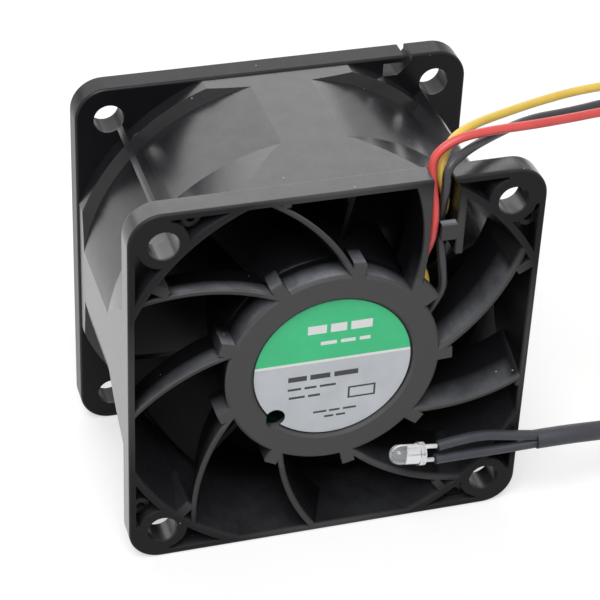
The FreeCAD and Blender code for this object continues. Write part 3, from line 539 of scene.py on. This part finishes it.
def make_printed_bar():
    """A plain rectangle on the front of the fan, as a mask."""
    group, given, result = new_group(
        "Printed Bar",
        [("Across", 0.0), ("Up", 0.0), ("Half Width", 0.001), ("Half Height", 0.0003)],
        ["Mask"],
    )
    parts = parts_of(group)
    inside = None
    for axis, middle, half, shift in (
        ("X", "Across", "Half Width", 0.0),
        ("Z", "Up", "Half Height", AXIS_HEIGHT),
    ):
        from_axis = math_of(group, "SUBTRACT", parts[axis], shift)
        away = math_of(group, "ABSOLUTE", math_of(group, "SUBTRACT", from_axis, given.outputs[middle]))
        near = math_of(group, "LESS_THAN", away, given.outputs[half])
        inside = near if inside is None else math_of(group, "MULTIPLY", inside, near)
    group.links.new(inside, result.inputs["Mask"])


# Finishes

def new_finish(name, metallic=0.0, roughness=0.5):
    """A material with its Principled shader and plain values."""
    material = bpy.data.materials.new(name)
    material.use_nodes = True
    tree = material.node_tree
    skin = tree.nodes["Principled BSDF"]
    skin.inputs["Metallic"].default_value = metallic
    skin.inputs["Roughness"].default_value = roughness
    return material, tree, skin


def bump_on(tree, skin, height, depth, strength=1.0):
    """Relief of the given depth on a shader's normal."""
    made = place(tree, "ShaderNodeBump", {"Strength": strength, "Distance": depth})
    tree.links.new(height, made.inputs["Height"])
    tree.links.new(made.outputs[0], skin.inputs["Normal"])
    return made


def moulded_plastic(
    name, base, roughness, settings, tone=0.08, polish=0.03, mottle=0.007, dust_and_top_light=0.5, edge=0.0,
    painted_light_mask=None, polished=None,
):
    """Satin moulded plastic with grain, uneven polish, handling lines, and a pale film on what faces up
    that is a dusting with specks and, in large amounts, painted top light.
    """
    material, tree, skin = new_finish(name, roughness=roughness)
    grain = use_group(tree, "Moulded Grain", {"Grain Size": settings.grain_size, "Mottle Size": mottle})
    if polished:
        skin.inputs["Specular IOR Level"].default_value = COATED_SPECULAR
        skin.inputs["Coat Roughness"].default_value = roughness
        uneven = spread(tree, grain.outputs["Polish"], *COAT_RANGE)
        tree.links.new(math_of(tree, "MULTIPLY", uneven, polished(tree)), skin.inputs["Coat Weight"])
    else:
        skin.inputs["Specular IOR Level"].default_value = BARE_SPECULAR
    dust_and_top_light_film = use_group(tree, "Dust and Top Light", {})
    lines = use_group(tree, "Hair Lines", {})
    body = blend(tree, grain.outputs["Tone"], shade_of(base, 1 - tone), shade_of(base, 1 + tone))
    # Painted top light as well as a dusting: the pale film makes up-facing faces paler, and the mask,
    # where given, keeps it to where the light falls.
    film = math_of(tree, "MULTIPLY", dust_and_top_light_film.outputs["Film"], DUST_AND_TOP_LIGHT_SHARE * dust_and_top_light)
    if painted_light_mask:
        film = math_of(tree, "MULTIPLY", film, painted_light_mask(tree))
    body = blend(tree, film, body, DUST_AND_TOP_LIGHT_COLOUR)
    specks = math_of(tree, "MULTIPLY", dust_and_top_light_film.outputs["Specks"], SPECK_SHARE * dust_and_top_light)
    body = blend(tree, specks, body, SPECK_COLOUR)
    tree.links.new(body, skin.inputs["Base Color"])
    gloss = spread(tree, grain.outputs["Polish"], roughness - polish, roughness + polish)
    scuffed = math_of(tree, "MULTIPLY", lines.outputs["Lines"], SCUFF)
    tree.links.new(math_of(tree, "ADD", gloss, scuffed), skin.inputs["Roughness"])
    relief = bump_on(tree, skin, grain.outputs["Height"], settings.grain_depth)
    if edge:
        softened = place(tree, "ShaderNodeBevel", {"Radius": edge}, samples=EDGE_SAMPLES)
        tree.links.new(softened.outputs[0], relief.inputs["Normal"])
    return material


def turned_metal(name, settings):
    """Metal with the fine lines of its cutting or rolling, and uneven polish."""
    base, roughness, pitch, depth, way, tint = METALS[name]
    material, tree, skin = new_finish(name, metallic=1.0, roughness=roughness)
    lines = use_group(tree, "Axis Lines", {"Pitch": pitch})
    grain_size = settings.grain_size * METAL_GRAIN
    grain = use_group(tree, "Moulded Grain", {"Grain Size": grain_size, "Mottle Size": METAL_MOTTLE})
    body = blend(tree, grain.outputs["Tone"], shade_of(base, 1 - tint), shade_of(base, 1 + tint))
    body = blend(tree, spread(tree, lines.outputs[way], 0.0, 0.12), body, shade_of(base, 0.5))
    tree.links.new(body, skin.inputs["Base Color"])
    gloss = spread(tree, grain.outputs["Polish"], roughness * 0.75, roughness * 1.3)
    tree.links.new(gloss, skin.inputs["Roughness"])
    bump_on(tree, skin, lines.outputs[way], depth)
    return material


def pvc_insulation(name, base, roughness, settings):
    """Extruded insulation with a faint waviness and worn, duller patches."""
    material, tree, skin = new_finish(name, roughness=roughness)
    grain_size = settings.grain_size * PVC_GRAIN
    grain = use_group(tree, "Moulded Grain", {"Grain Size": grain_size, "Mottle Size": PVC_MOTTLE})
    dust_and_top_light_film = use_group(tree, "Dust and Top Light", {"Film Size": PVC_FILM})
    body = blend(tree, grain.outputs["Tone"], shade_of(base, 0.90), shade_of(base, 1.08))
    film = math_of(tree, "MULTIPLY", dust_and_top_light_film.outputs["Film"], LEAD_FILM_SHARE)
    body = blend(tree, film, body, LEAD_FILM_COLOUR)
    tree.links.new(body, skin.inputs["Base Color"])
    gloss = spread(tree, grain.outputs["Polish"], roughness - 0.08, roughness + 0.10)
    tree.links.new(gloss, skin.inputs["Roughness"])
    bump_on(tree, skin, grain.outputs["Height"], settings.grain_depth)
    return material


def wear_finish(piece, finish):
    """A CAD node takes a finish in each of its material slots."""
    for slot in piece.material_slots:
        slot.material = finish


# Modelling tools

def deselect():
    """Nothing selected, in object mode."""
    bpy.ops.object.select_all(action="DESELECT")


def pick_faces(piece, test):
    """Edit mode with only the faces that pass the test selected."""
    bpy.ops.object.mode_set(mode="EDIT")
    bpy.ops.mesh.select_mode(type="FACE")
    bpy.ops.mesh.select_all(action="DESELECT")
    bpy.ops.object.mode_set(mode="OBJECT")
    for face in piece.data.polygons:
        face.select = test(face)
    bpy.ops.object.mode_set(mode="EDIT")


def lay_cord(name, route, diameter, finish):
    """A round cord on one open spline with the route's points as control points."""
    curve = bpy.data.curves.new(name, "CURVE")
    curve.dimensions = "3D"
    spline = curve.splines.new("NURBS")
    spline.points.add(len(route) - 1)
    for spot, point in zip(spline.points, route):
        spot.co = (*point, 1.0)
    spline.order_u = 3
    spline.use_endpoint_u = True
    curve.resolution_u = 10
    curve.bevel_depth = diameter / 2
    curve.bevel_resolution = 6
    curve.use_fill_caps = True
    curve.materials.append(finish)
    piece = bpy.data.objects.new(name, curve)
    bpy.context.scene.collection.objects.link(piece)
    return piece


# Operators

class FAN_OT_camera(bpy.types.Operator):
    """Place the camera at the photograph's angle"""

    bl_idname = "fan.camera"
    bl_label = "Camera"

    def execute(self, context):
        studio = context.scene.fan_studio
        turn, lift, roll = studio.azimuth, studio.elevation, studio.roll
        back = Vector((math.sin(turn) * math.cos(lift), -math.cos(turn) * math.cos(lift), math.sin(lift)))
        level = Vector((0, 0, 1)).cross(back).normalized()
        upright = back.cross(level)
        right = math.cos(roll) * level + math.sin(roll) * upright
        up = math.cos(roll) * upright - math.sin(roll) * level
        shift = PICTURE_SHIFT[0] * right + PICTURE_SHIFT[1] * up
        spot = Vector((0, 0, AXIS_HEIGHT)) + shift + studio.distance * back
        deselect()
        bpy.ops.object.camera_add()
        camera = context.object
        camera.matrix_world = Matrix(
            [[right[i], up[i], back[i], spot[i]] for i in range(3)] + [[0, 0, 0, 1]]
        )
        camera.data.lens = studio.lens
        camera.data.sensor_width = SENSOR_WIDTH
        camera.data.clip_start = NEAR_CLIP
        context.scene.camera = camera
        return {"FINISHED"}


class FAN_OT_stage(bpy.types.Operator):
    """Lay the paper floor and set the softboxes"""

    bl_idname = "fan.stage"
    bl_label = "Stage"

    def execute(self, context):
        studio = context.scene.fan_studio
        deselect()
        bpy.ops.mesh.primitive_plane_add(size=PAPER_SIZE, location=(0, 0, -PAPER_DROP))
        floor = context.object
        floor.name = "paper_floor"
        floor.data.materials.append(self.paper(studio))
        self.softbox("key_softbox", KEY_SPOT, KEY_SIZE, studio.key_power)
        self.softbox("back_softbox", BACK_SPOT, BACK_SIZE, studio.back_power)
        self.room(context.scene, studio)
        context.scene.view_settings.view_transform = "Standard"
        return {"FINISHED"}

    def seen(self, tree, path):
        """1 for what the camera sees directly, in a reflection or through glass."""
        mirrored = math_of(tree, "MAXIMUM", path.outputs["Is Camera Ray"], path.outputs["Is Glossy Ray"])
        return math_of(tree, "MAXIMUM", mirrored, path.outputs["Is Transmission Ray"])

    def paper(self, studio):
        """White paper that keeps the shadow, and is clear from below."""
        material, tree, skin = new_finish("floor_paper", roughness=0.7)
        skin.inputs["Base Color"].default_value = (*studio.floor, 1.0)
        path = place(tree, "ShaderNodeLightPath")
        seen = self.seen(tree, path)
        glow = place(tree, "ShaderNodeEmission")
        coords = place(tree, "ShaderNodeTexCoord")
        away = place(tree, "ShaderNodeVectorMath", operation="LENGTH")
        tree.links.new(coords.outputs["Object"], away.inputs[0])
        lift = spread(tree, away.outputs["Value"], studio.floor_lift, 1.0, *PAPER_FADE)
        tree.links.new(math_of(tree, "MULTIPLY", seen, lift), glow.inputs["Strength"])
        both = place(tree, "ShaderNodeAddShader")
        tree.links.new(skin.outputs[0], both.inputs[0])
        tree.links.new(glow.outputs[0], both.inputs[1])
        side = place(tree, "ShaderNodeNewGeometry")
        below = math_of(tree, "MULTIPLY", side.outputs["Backfacing"], path.outputs["Is Camera Ray"])
        clear = place(tree, "ShaderNodeBsdfTransparent")
        choice = place(tree, "ShaderNodeMixShader")
        tree.links.new(below, choice.inputs[0])
        tree.links.new(both.outputs[0], choice.inputs[1])
        tree.links.new(clear.outputs[0], choice.inputs[2])
        tree.links.new(choice.outputs[0], tree.nodes["Material Output"].inputs["Surface"])
        return material

    def softbox(self, name, spot, size, power):
        """An area lamp of some width and height that faces the fan."""
        aim = Vector((0, 0, AXIS_HEIGHT)) - Vector(spot)
        turn = aim.to_track_quat("-Z", "Y").to_euler()
        bpy.ops.object.light_add(type="AREA", location=spot, rotation=turn)
        lamp = bpy.context.object
        lamp.name = name
        lamp.data.shape = "RECTANGLE"
        lamp.data.size, lamp.data.size_y = size
        lamp.data.energy = power

    def room(self, scene, studio):
        """An even white room, plain white where it is seen."""
        scene.world = bpy.data.worlds.new("white_room")
        scene.world.use_nodes = True
        tree = scene.world.node_tree
        seen = self.seen(tree, place(tree, "ShaderNodeLightPath"))
        strength = spread(tree, seen, studio.world_light, 1.0)
        tree.links.new(strength, tree.nodes["Background"].inputs["Strength"])
        tree.nodes["Background"].inputs["Color"].default_value = (1, 1, 1, 1)


class FAN_OT_effects(bpy.types.Operator):
    """Build the shared surface effects"""

    bl_idname = "fan.effects"
    bl_label = "Surface Effects"

    def execute(self, context):
        make_moulded_grain()
        make_dust_and_top_light()
        make_hair_lines()
        make_axis_lines()
        make_printed_bar()
        return {"FINISHED"}


class FAN_OT_leads(bpy.types.Operator):
    """Lay the red, black and yellow leads from the board to the connector"""

    bl_idname = "fan.leads"
    bl_label = "Leads"

    def execute(self, context):
        finishes = context.scene.fan_finishes
        diameter = context.scene.fan_cords.lead
        for name, route, base, run in (
            ("red_lead", RED_ROUTE, finishes.red, 0.1309),
            ("black_lead", BLACK_ROUTE, finishes.black, 0.1330),
            ("yellow_lead", YELLOW_ROUTE, finishes.yellow, 0.1305),
        ):
            finish = pvc_insulation(f"{name}_pvc", base, LEAD_ROUGHNESS, finishes)
            lead = lay_cord(f"{name}_cord", route, diameter, finish)
            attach(lead, "frame")
            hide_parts(name)
        return {"FINISHED"}


class FAN_OT_lamp(bpy.types.Operator):
    """Dress the lamp and lay its sleeves and cable"""

    bl_idname = "fan.lamp"
    bl_label = "Lamp"

    def execute(self, context):
        finishes = context.scene.fan_finishes
        cords = context.scene.fan_cords
        rubber = pvc_insulation("sleeve_rubber", finishes.sleeve, RUBBER_ROUGHNESS, finishes)
        for name, route in (("upper_sleeve", UPPER_SLEEVE_ROUTE), ("lower_sleeve", LOWER_SLEEVE_ROUTE)):
            sleeve = lay_cord(name, route, cords.sleeve, rubber)
            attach(sleeve, "frame")
            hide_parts("lamp_sleeves")
        tin = turned_metal("lamp_leg_tin", finishes)
        tin.node_tree.nodes["Principled BSDF"].inputs["Metallic"].default_value = PLATING_METALLIC
        legs = [self.leg("upper_lamp_leg", 0.0, tin), self.leg("lower_lamp_leg", math.pi, tin)]
        cable = lay_cord("lamp_cable_cord", CABLE_ROUTE, cords.cable, rubber)
        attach(cable, "frame")
        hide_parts("lamp_cable")
        wear_finish(nodes["lamp_lens"], self.epoxy())
        return {"FINISHED"}

    def leg(self, name, turn, finish):
        """A tinned leg that widens to a flat post inside the lens, laid along the lamp's line."""
        deselect()
        bpy.ops.mesh.primitive_cube_add(
            size=1, location=(LAMP_LENGTH + LEG_LENGTH / 2, 0, LEG_SPREAD), scale=(LEG_LENGTH, LEG, LEG)
        )
        leg = bpy.context.object
        leg.name = name
        bpy.ops.object.transform_apply(location=True, rotation=True, scale=True)
        pick_faces(leg, lambda face: face.normal.x < -SQUARE_ON)
        bpy.ops.mesh.extrude_region_move(TRANSFORM_OT_translate={"value": (-POST_LENGTH, 0, 0)})
        pick_faces(leg, lambda face: face.normal.z < -SQUARE_ON and face.center.x < LAMP_LENGTH)
        bpy.ops.mesh.extrude_region_move(TRANSFORM_OT_translate={"value": (0, 0, -POST_WIDTH)})
        bpy.ops.mesh.select_all(action="SELECT")
        bpy.ops.mesh.bevel(offset=LEG / 8, segments=2)
        bpy.ops.object.mode_set(mode="OBJECT")
        tilted = Matrix.Translation(LAMP_TIP) @ Matrix.Rotation(LAMP_TILT, 4, "Y")
        leg.matrix_world = tilted @ Matrix.Rotation(turn, 4, "X")
        bpy.ops.object.transform_apply(location=True, rotation=True, scale=True)
        bpy.ops.object.shade_smooth_by_angle(angle=SMOOTH_ANGLE)
        leg.data.materials.append(finish)
        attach(leg, "frame")
        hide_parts("lamp_legs")
        return leg

    def epoxy(self):
        """Clear cast epoxy, a little milky."""
        material, tree, skin = new_finish("lamp_epoxy", roughness=0.10)
        grain = use_group(tree, "Moulded Grain", {"Grain Size": 0.0006, "Mottle Size": 0.002})
        body = blend(tree, grain.outputs["Tone"], (0.93, 0.95, 0.98), (0.98, 0.985, 1.0))
        tree.links.new(body, skin.inputs["Base Color"])
        tree.links.new(spread(tree, grain.outputs["Polish"], 0.06, 0.16), skin.inputs["Roughness"])
        skin.inputs["IOR"].default_value = EPOXY_IOR
        skin.inputs["Transmission Weight"].default_value = EPOXY_CLEARNESS
        return material


class FAN_OT_housing(bpy.types.Operator):
    """Dress the moulded housing"""

    bl_idname = "fan.housing"
    bl_label = "Housing"

    def execute(self, context):
        finishes = context.scene.fan_finishes
        # The frame takes a heavy pale film: painted top light on up-facing faces near the outlet, higher
        # up and on the duct's top, with painted shade deep inside.
        material = moulded_plastic(
            "frame_plastic", finishes.frame, 0.25, finishes, polish=0.012, dust_and_top_light=1.6, edge=EDGE_RADIUS,
            painted_light_mask=self.painted_light_places, polished=self.polished_places,
        )
        self.matte_base(material.node_tree, finishes)
        wear_finish(nodes["housing"], material)
        return {"FINISHED"}

    def painted_light_places(self, tree):
        """Painted light and shade: the film is strongest on what lies near the outlet and higher up, some
        on the outside of the duct and less towards its rear, none deep inside.
        """
        parts = parts_of(tree)
        radius = use_group(tree, "Axis Lines", {}).outputs["Radius"]
        outlet = spread(tree, parts["Y"], 1.5, 0.0, *VANE_FRONTS)
        upper = spread(tree, parts["Z"], 0.12, 1.6, *UPPER_PART)
        inside = spread(tree, radius, 1.0, 0.0, *BORE)
        outlet = math_of(tree, "MULTIPLY", math_of(tree, "MULTIPLY", outlet, upper), inside)
        outside = spread(tree, radius, 0.0, 0.20, *OUTER_SKIN)
        less_to_rear = spread(tree, parts["Y"], 1.0, 0.45, *DUCT_RUN)
        outside = math_of(tree, "MULTIPLY", outside, less_to_rear)
        return math_of(tree, "MAXIMUM", outlet, outside)

    def polished_places(self, tree):
        """The duct's outside comes from a polished mould; the inside and what faces forward are duller."""
        depth = parts_of(tree)["Y"]
        radius = use_group(tree, "Axis Lines", {}).outputs["Radius"]
        outside = spread(tree, radius, 0.0, 0.85, *OUTER_SKIN)
        sideways = spread(tree, parts_of(tree, "Normal")["Y"], 0.40, 1.0, *LEAN)
        rear = spread(tree, depth, 1.0, 0.25, *REAR_FLANGE)
        outside = math_of(tree, "MULTIPLY", outside, math_of(tree, "MULTIPLY", sideways, rear))
        outlet = spread(tree, depth, 0.22, 0.03, *OUTLET)
        front = spread(tree, depth, 0.2, 1.0, *FRONT_PLANE)
        return math_of(tree, "MULTIPLY", math_of(tree, "MAXIMUM", outside, outlet), front)

    def matte_base(self, tree, finishes):
        """The front faces, most of all the motor base, are duller and paler than the rest."""
        skin = tree.nodes["Principled BSDF"]
        depth = parts_of(tree)["Y"]
        radius = use_group(tree, "Axis Lines", {}).outputs["Radius"]
        near = spread(tree, radius, 1.0, 0.75, *BASE_RIM)
        flange = spread(tree, radius, 1.0, 0.20, *FLANGE_RIM)
        front = spread(tree, depth, 1.0, 0.0, *FRONT_FACES)
        middle = math_of(tree, "MULTIPLY", math_of(tree, "MULTIPLY", near, flange), front)
        body = skin.inputs["Base Color"].links[0].from_socket
        tree.links.new(blend(tree, middle, body, finishes.base_face), skin.inputs["Base Color"])
        gloss = skin.inputs["Roughness"].links[0].from_socket
        duller = math_of(tree, "MULTIPLY", middle, BASE_DULLING)
        tree.links.new(math_of(tree, "ADD", gloss, duller), skin.inputs["Roughness"])


class FAN_OT_label(bpy.types.Operator):
    """Print the plain label"""

    bl_idname = "fan.label"
    bl_label = "Label"

    def execute(self, context):
        finishes = context.scene.fan_finishes
        material, tree, skin = new_finish("label_film", roughness=0.34)
        grain = use_group(tree, "Moulded Grain", {"Grain Size": 0.0005, "Mottle Size": 0.004})
        tone = grain.outputs["Tone"]
        film = blend(tree, tone, shade_of(finishes.label_base, 0.93), shade_of(finishes.label_base, 1.05))
        green = blend(tree, tone, shade_of(finishes.label_top, 0.94), shade_of(finishes.label_top, 1.05))
        body = self.bar(tree, film, LABEL_FIELD, green)
        for values in LABEL_WHITE_BARS:
            body = self.bar(tree, body, values, LABEL_WHITE)
        for values in LABEL_INK_BARS:
            body = self.bar(tree, body, values, finishes.label_ink)
        body = self.bar(tree, body, LABEL_WINDOW, film)
        tree.links.new(body, skin.inputs["Base Color"])
        tree.links.new(spread(tree, grain.outputs["Polish"], 0.27, 0.42), skin.inputs["Roughness"])
        bump_on(tree, skin, tone, LABEL_RELIEF, 0.5)
        wear_finish(nodes["label"], material)
        return {"FINISHED"}

    def bar(self, tree, body, values, ink):
        """One printed bar over what is there."""
        names = ("Across", "Up", "Half Width", "Half Height")
        printed = use_group(tree, "Printed Bar", dict(zip(names, values)))
        return blend(tree, printed.outputs["Mask"], body, ink)


class FAN_OT_rotor(bpy.types.Operator):
    """Dress the impeller, its steel cup, its magnet and the shaft"""

    bl_idname = "fan.rotor"
    bl_label = "Rotor"

    def execute(self, context):
        finishes = context.scene.fan_finishes
        plastic = moulded_plastic(
            "impeller_plastic", finishes.impeller, 0.32, finishes, dust_and_top_light=0.06, edge=EDGE_RADIUS,
            polished=self.polished_places,
        )
        wear_finish(nodes["impeller"], plastic)
        wear_finish(nodes["rotor_yoke"], turned_metal("yoke_zinc", finishes))
        ferrite = moulded_plastic(
            "magnet_ferrite", (0.030, 0.028, 0.026), 0.58, finishes, tone=0.35, mottle=0.0012, dust_and_top_light=0.0
        )
        wear_finish(nodes["ring_magnet"], ferrite)
        wear_finish(nodes["hub_bush"], turned_metal("bush_brass", finishes))
        wear_finish(nodes["shaft"], turned_metal("shaft_ground_steel", finishes))
        spring = turned_metal("spring_steel", finishes)
        wear_finish(nodes["preload_spring"], spring)
        wear_finish(nodes["retaining_clip"], spring)
        return {"FINISHED"}

    def polished_places(self, tree):
        """Brighter towards the inlet, where the blades are wiped clean."""
        return spread(tree, parts_of(tree)["Y"], 0.10, 0.45, *BLADE_RUN)


class FAN_OT_bearings(bpy.types.Operator):
    """Dress both ball bearings and their brass tube"""

    bl_idname = "fan.bearings"
    bl_label = "Bearings"

    def execute(self, context):
        finishes = context.scene.fan_finishes
        race = turned_metal("race_steel", finishes)
        ball = turned_metal("ball_steel", finishes)
        shield = turned_metal("shield_steel", finishes)
        for end in ("front", "rear"):
            wear_finish(nodes[f"{end}_inner_race"], race)
            wear_finish(nodes[f"{end}_outer_race"], race)
            wear_finish(nodes[f"{end}_balls"], ball)
            wear_finish(nodes[f"{end}_bearing_shields"], shield)
        wear_finish(nodes["bearing_tube"], turned_metal("tube_brass", finishes))
        return {"FINISHED"}


class FAN_OT_stator(bpy.types.Operator):
    """Dress the laminated core, its insulators and the coils"""

    bl_idname = "fan.stator"
    bl_label = "Stator"

    def execute(self, context):
        finishes = context.scene.fan_finishes
        wear_finish(nodes["stator_core"], turned_metal("core_laminations", finishes))
        wear_finish(nodes["windings"], turned_metal("coil_copper", finishes))
        nylon = moulded_plastic(
            "insulator_nylon", (0.56, 0.55, 0.50), 0.46, finishes, tone=0.06, mottle=0.004, dust_and_top_light=0.0
        )
        wear_finish(nodes["front_insulator"], nylon)
        wear_finish(nodes["rear_insulator"], nylon)
        return {"FINISHED"}


class FAN_OT_board(bpy.types.Operator):
    """Dress the circuit board and what is soldered to it"""

    bl_idname = "fan.board"
    bl_label = "Circuit Board"

    def execute(self, context):
        finishes = context.scene.fan_finishes
        wear_finish(nodes["circuit_board"], self.laminate())
        epoxy = moulded_plastic(
            "chip_epoxy", (0.024, 0.024, 0.025), 0.55, finishes, tone=0.2, mottle=0.001, dust_and_top_light=0.0
        )
        for name in ("drive_chip", "switching_transistors", "position_sensor"):
            wear_finish(nodes[name], epoxy)
        ceramic = moulded_plastic(
            "capacitor_ceramic", (0.46, 0.33, 0.20), 0.40, finishes, tone=0.12, mottle=0.001, dust_and_top_light=0.0
        )
        wear_finish(nodes["capacitors"], ceramic)
        wear_finish(nodes["solder_joints"], turned_metal("solder_tin", finishes))
        return {"FINISHED"}

    def laminate(self):
        """Green board with tracks under the lacquer."""
        material, tree, skin = new_finish("board_laminate", roughness=0.38)
        lines = use_group(tree, "Axis Lines", {"Pitch": 0.0012, "Wander": 0.9})
        grain = use_group(tree, "Moulded Grain", {"Grain Size": 0.0003, "Mottle Size": 0.003})
        track = spread(tree, lines.outputs["Radial"], 0.0, 1.0, 0.52, 0.58)
        body = blend(tree, track, LACQUER, TRACK)
        body = blend(tree, spread(tree, grain.outputs["Tone"], 0.0, 0.25), body, LACQUER_DARK)
        tree.links.new(body, skin.inputs["Base Color"])
        tree.links.new(spread(tree, grain.outputs["Polish"], 0.30, 0.46), skin.inputs["Roughness"])
        bump_on(tree, skin, track, TRACK_RELIEF)
        return material


class FAN_OT_connector(bpy.types.Operator):
    """Dress the connector housing and its terminals"""

    bl_idname = "fan.connector"
    bl_label = "Connector"

    def execute(self, context):
        finishes = context.scene.fan_finishes
        nylon = moulded_plastic("connector_nylon", finishes.nylon, 0.42, finishes, tone=0.05, dust_and_top_light=0.3)
        wear_finish(nodes["connector_housing"], nylon)
        wear_finish(nodes["connector_terminals"], turned_metal("terminal_tin", finishes))
        return {"FINISHED"}


class FAN_PT_pieces(bpy.types.Panel):
    """Sizes, colours and steps of the fan"""

    bl_idname = "FAN_PT_pieces"
    bl_label = "Cooling Fan"
    bl_space_type = "VIEW_3D"
    bl_region_type = "UI"
    bl_category = "Fan"

    def draw(self, context):
        scene = context.scene
        for settings in (scene.fan_finishes, scene.fan_cords, scene.fan_studio):
            box = self.layout.box()
            for name in settings.bl_rna.properties.keys():
                if name not in {"rna_type", "name"}:
                    box.prop(settings, name)
        for operator in OPERATORS:
            self.layout.operator(operator.bl_idname)


SETTINGS = (FanFinishes, FanCords, FanStudio)
OPERATORS = (
    FAN_OT_camera,
    FAN_OT_stage,
    FAN_OT_effects,
    FAN_OT_leads,
    FAN_OT_lamp,
    FAN_OT_housing,
    FAN_OT_label,
    FAN_OT_rotor,
    FAN_OT_bearings,
    FAN_OT_stator,
    FAN_OT_board,
    FAN_OT_connector,
)


def register():
    """Register the settings, the operators and the panel."""
    for made in (*SETTINGS, *OPERATORS, FAN_PT_pieces):
        bpy.utils.register_class(made)
    bpy.types.Scene.fan_finishes = PointerProperty(type=FanFinishes)
    bpy.types.Scene.fan_cords = PointerProperty(type=FanCords)
    bpy.types.Scene.fan_studio = PointerProperty(type=FanStudio)


def unregister():
    """Take back what register made."""
    del bpy.types.Scene.fan_studio
    del bpy.types.Scene.fan_cords
    del bpy.types.Scene.fan_finishes
    for made in reversed((*SETTINGS, *OPERATORS, FAN_PT_pieces)):
        bpy.utils.unregister_class(made)


def main():
    """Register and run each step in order."""
    register()
    bpy.ops.fan.camera()
    bpy.ops.fan.effects()
    bpy.ops.fan.leads()
    bpy.ops.fan.lamp()
    bpy.ops.fan.housing()
    bpy.ops.fan.label()
    bpy.ops.fan.rotor()
    bpy.ops.fan.bearings()
    bpy.ops.fan.stator()
    bpy.ops.fan.board()
    bpy.ops.fan.connector()
    bpy.ops.fan.stage()


if __name__ == "__main__":
    main()
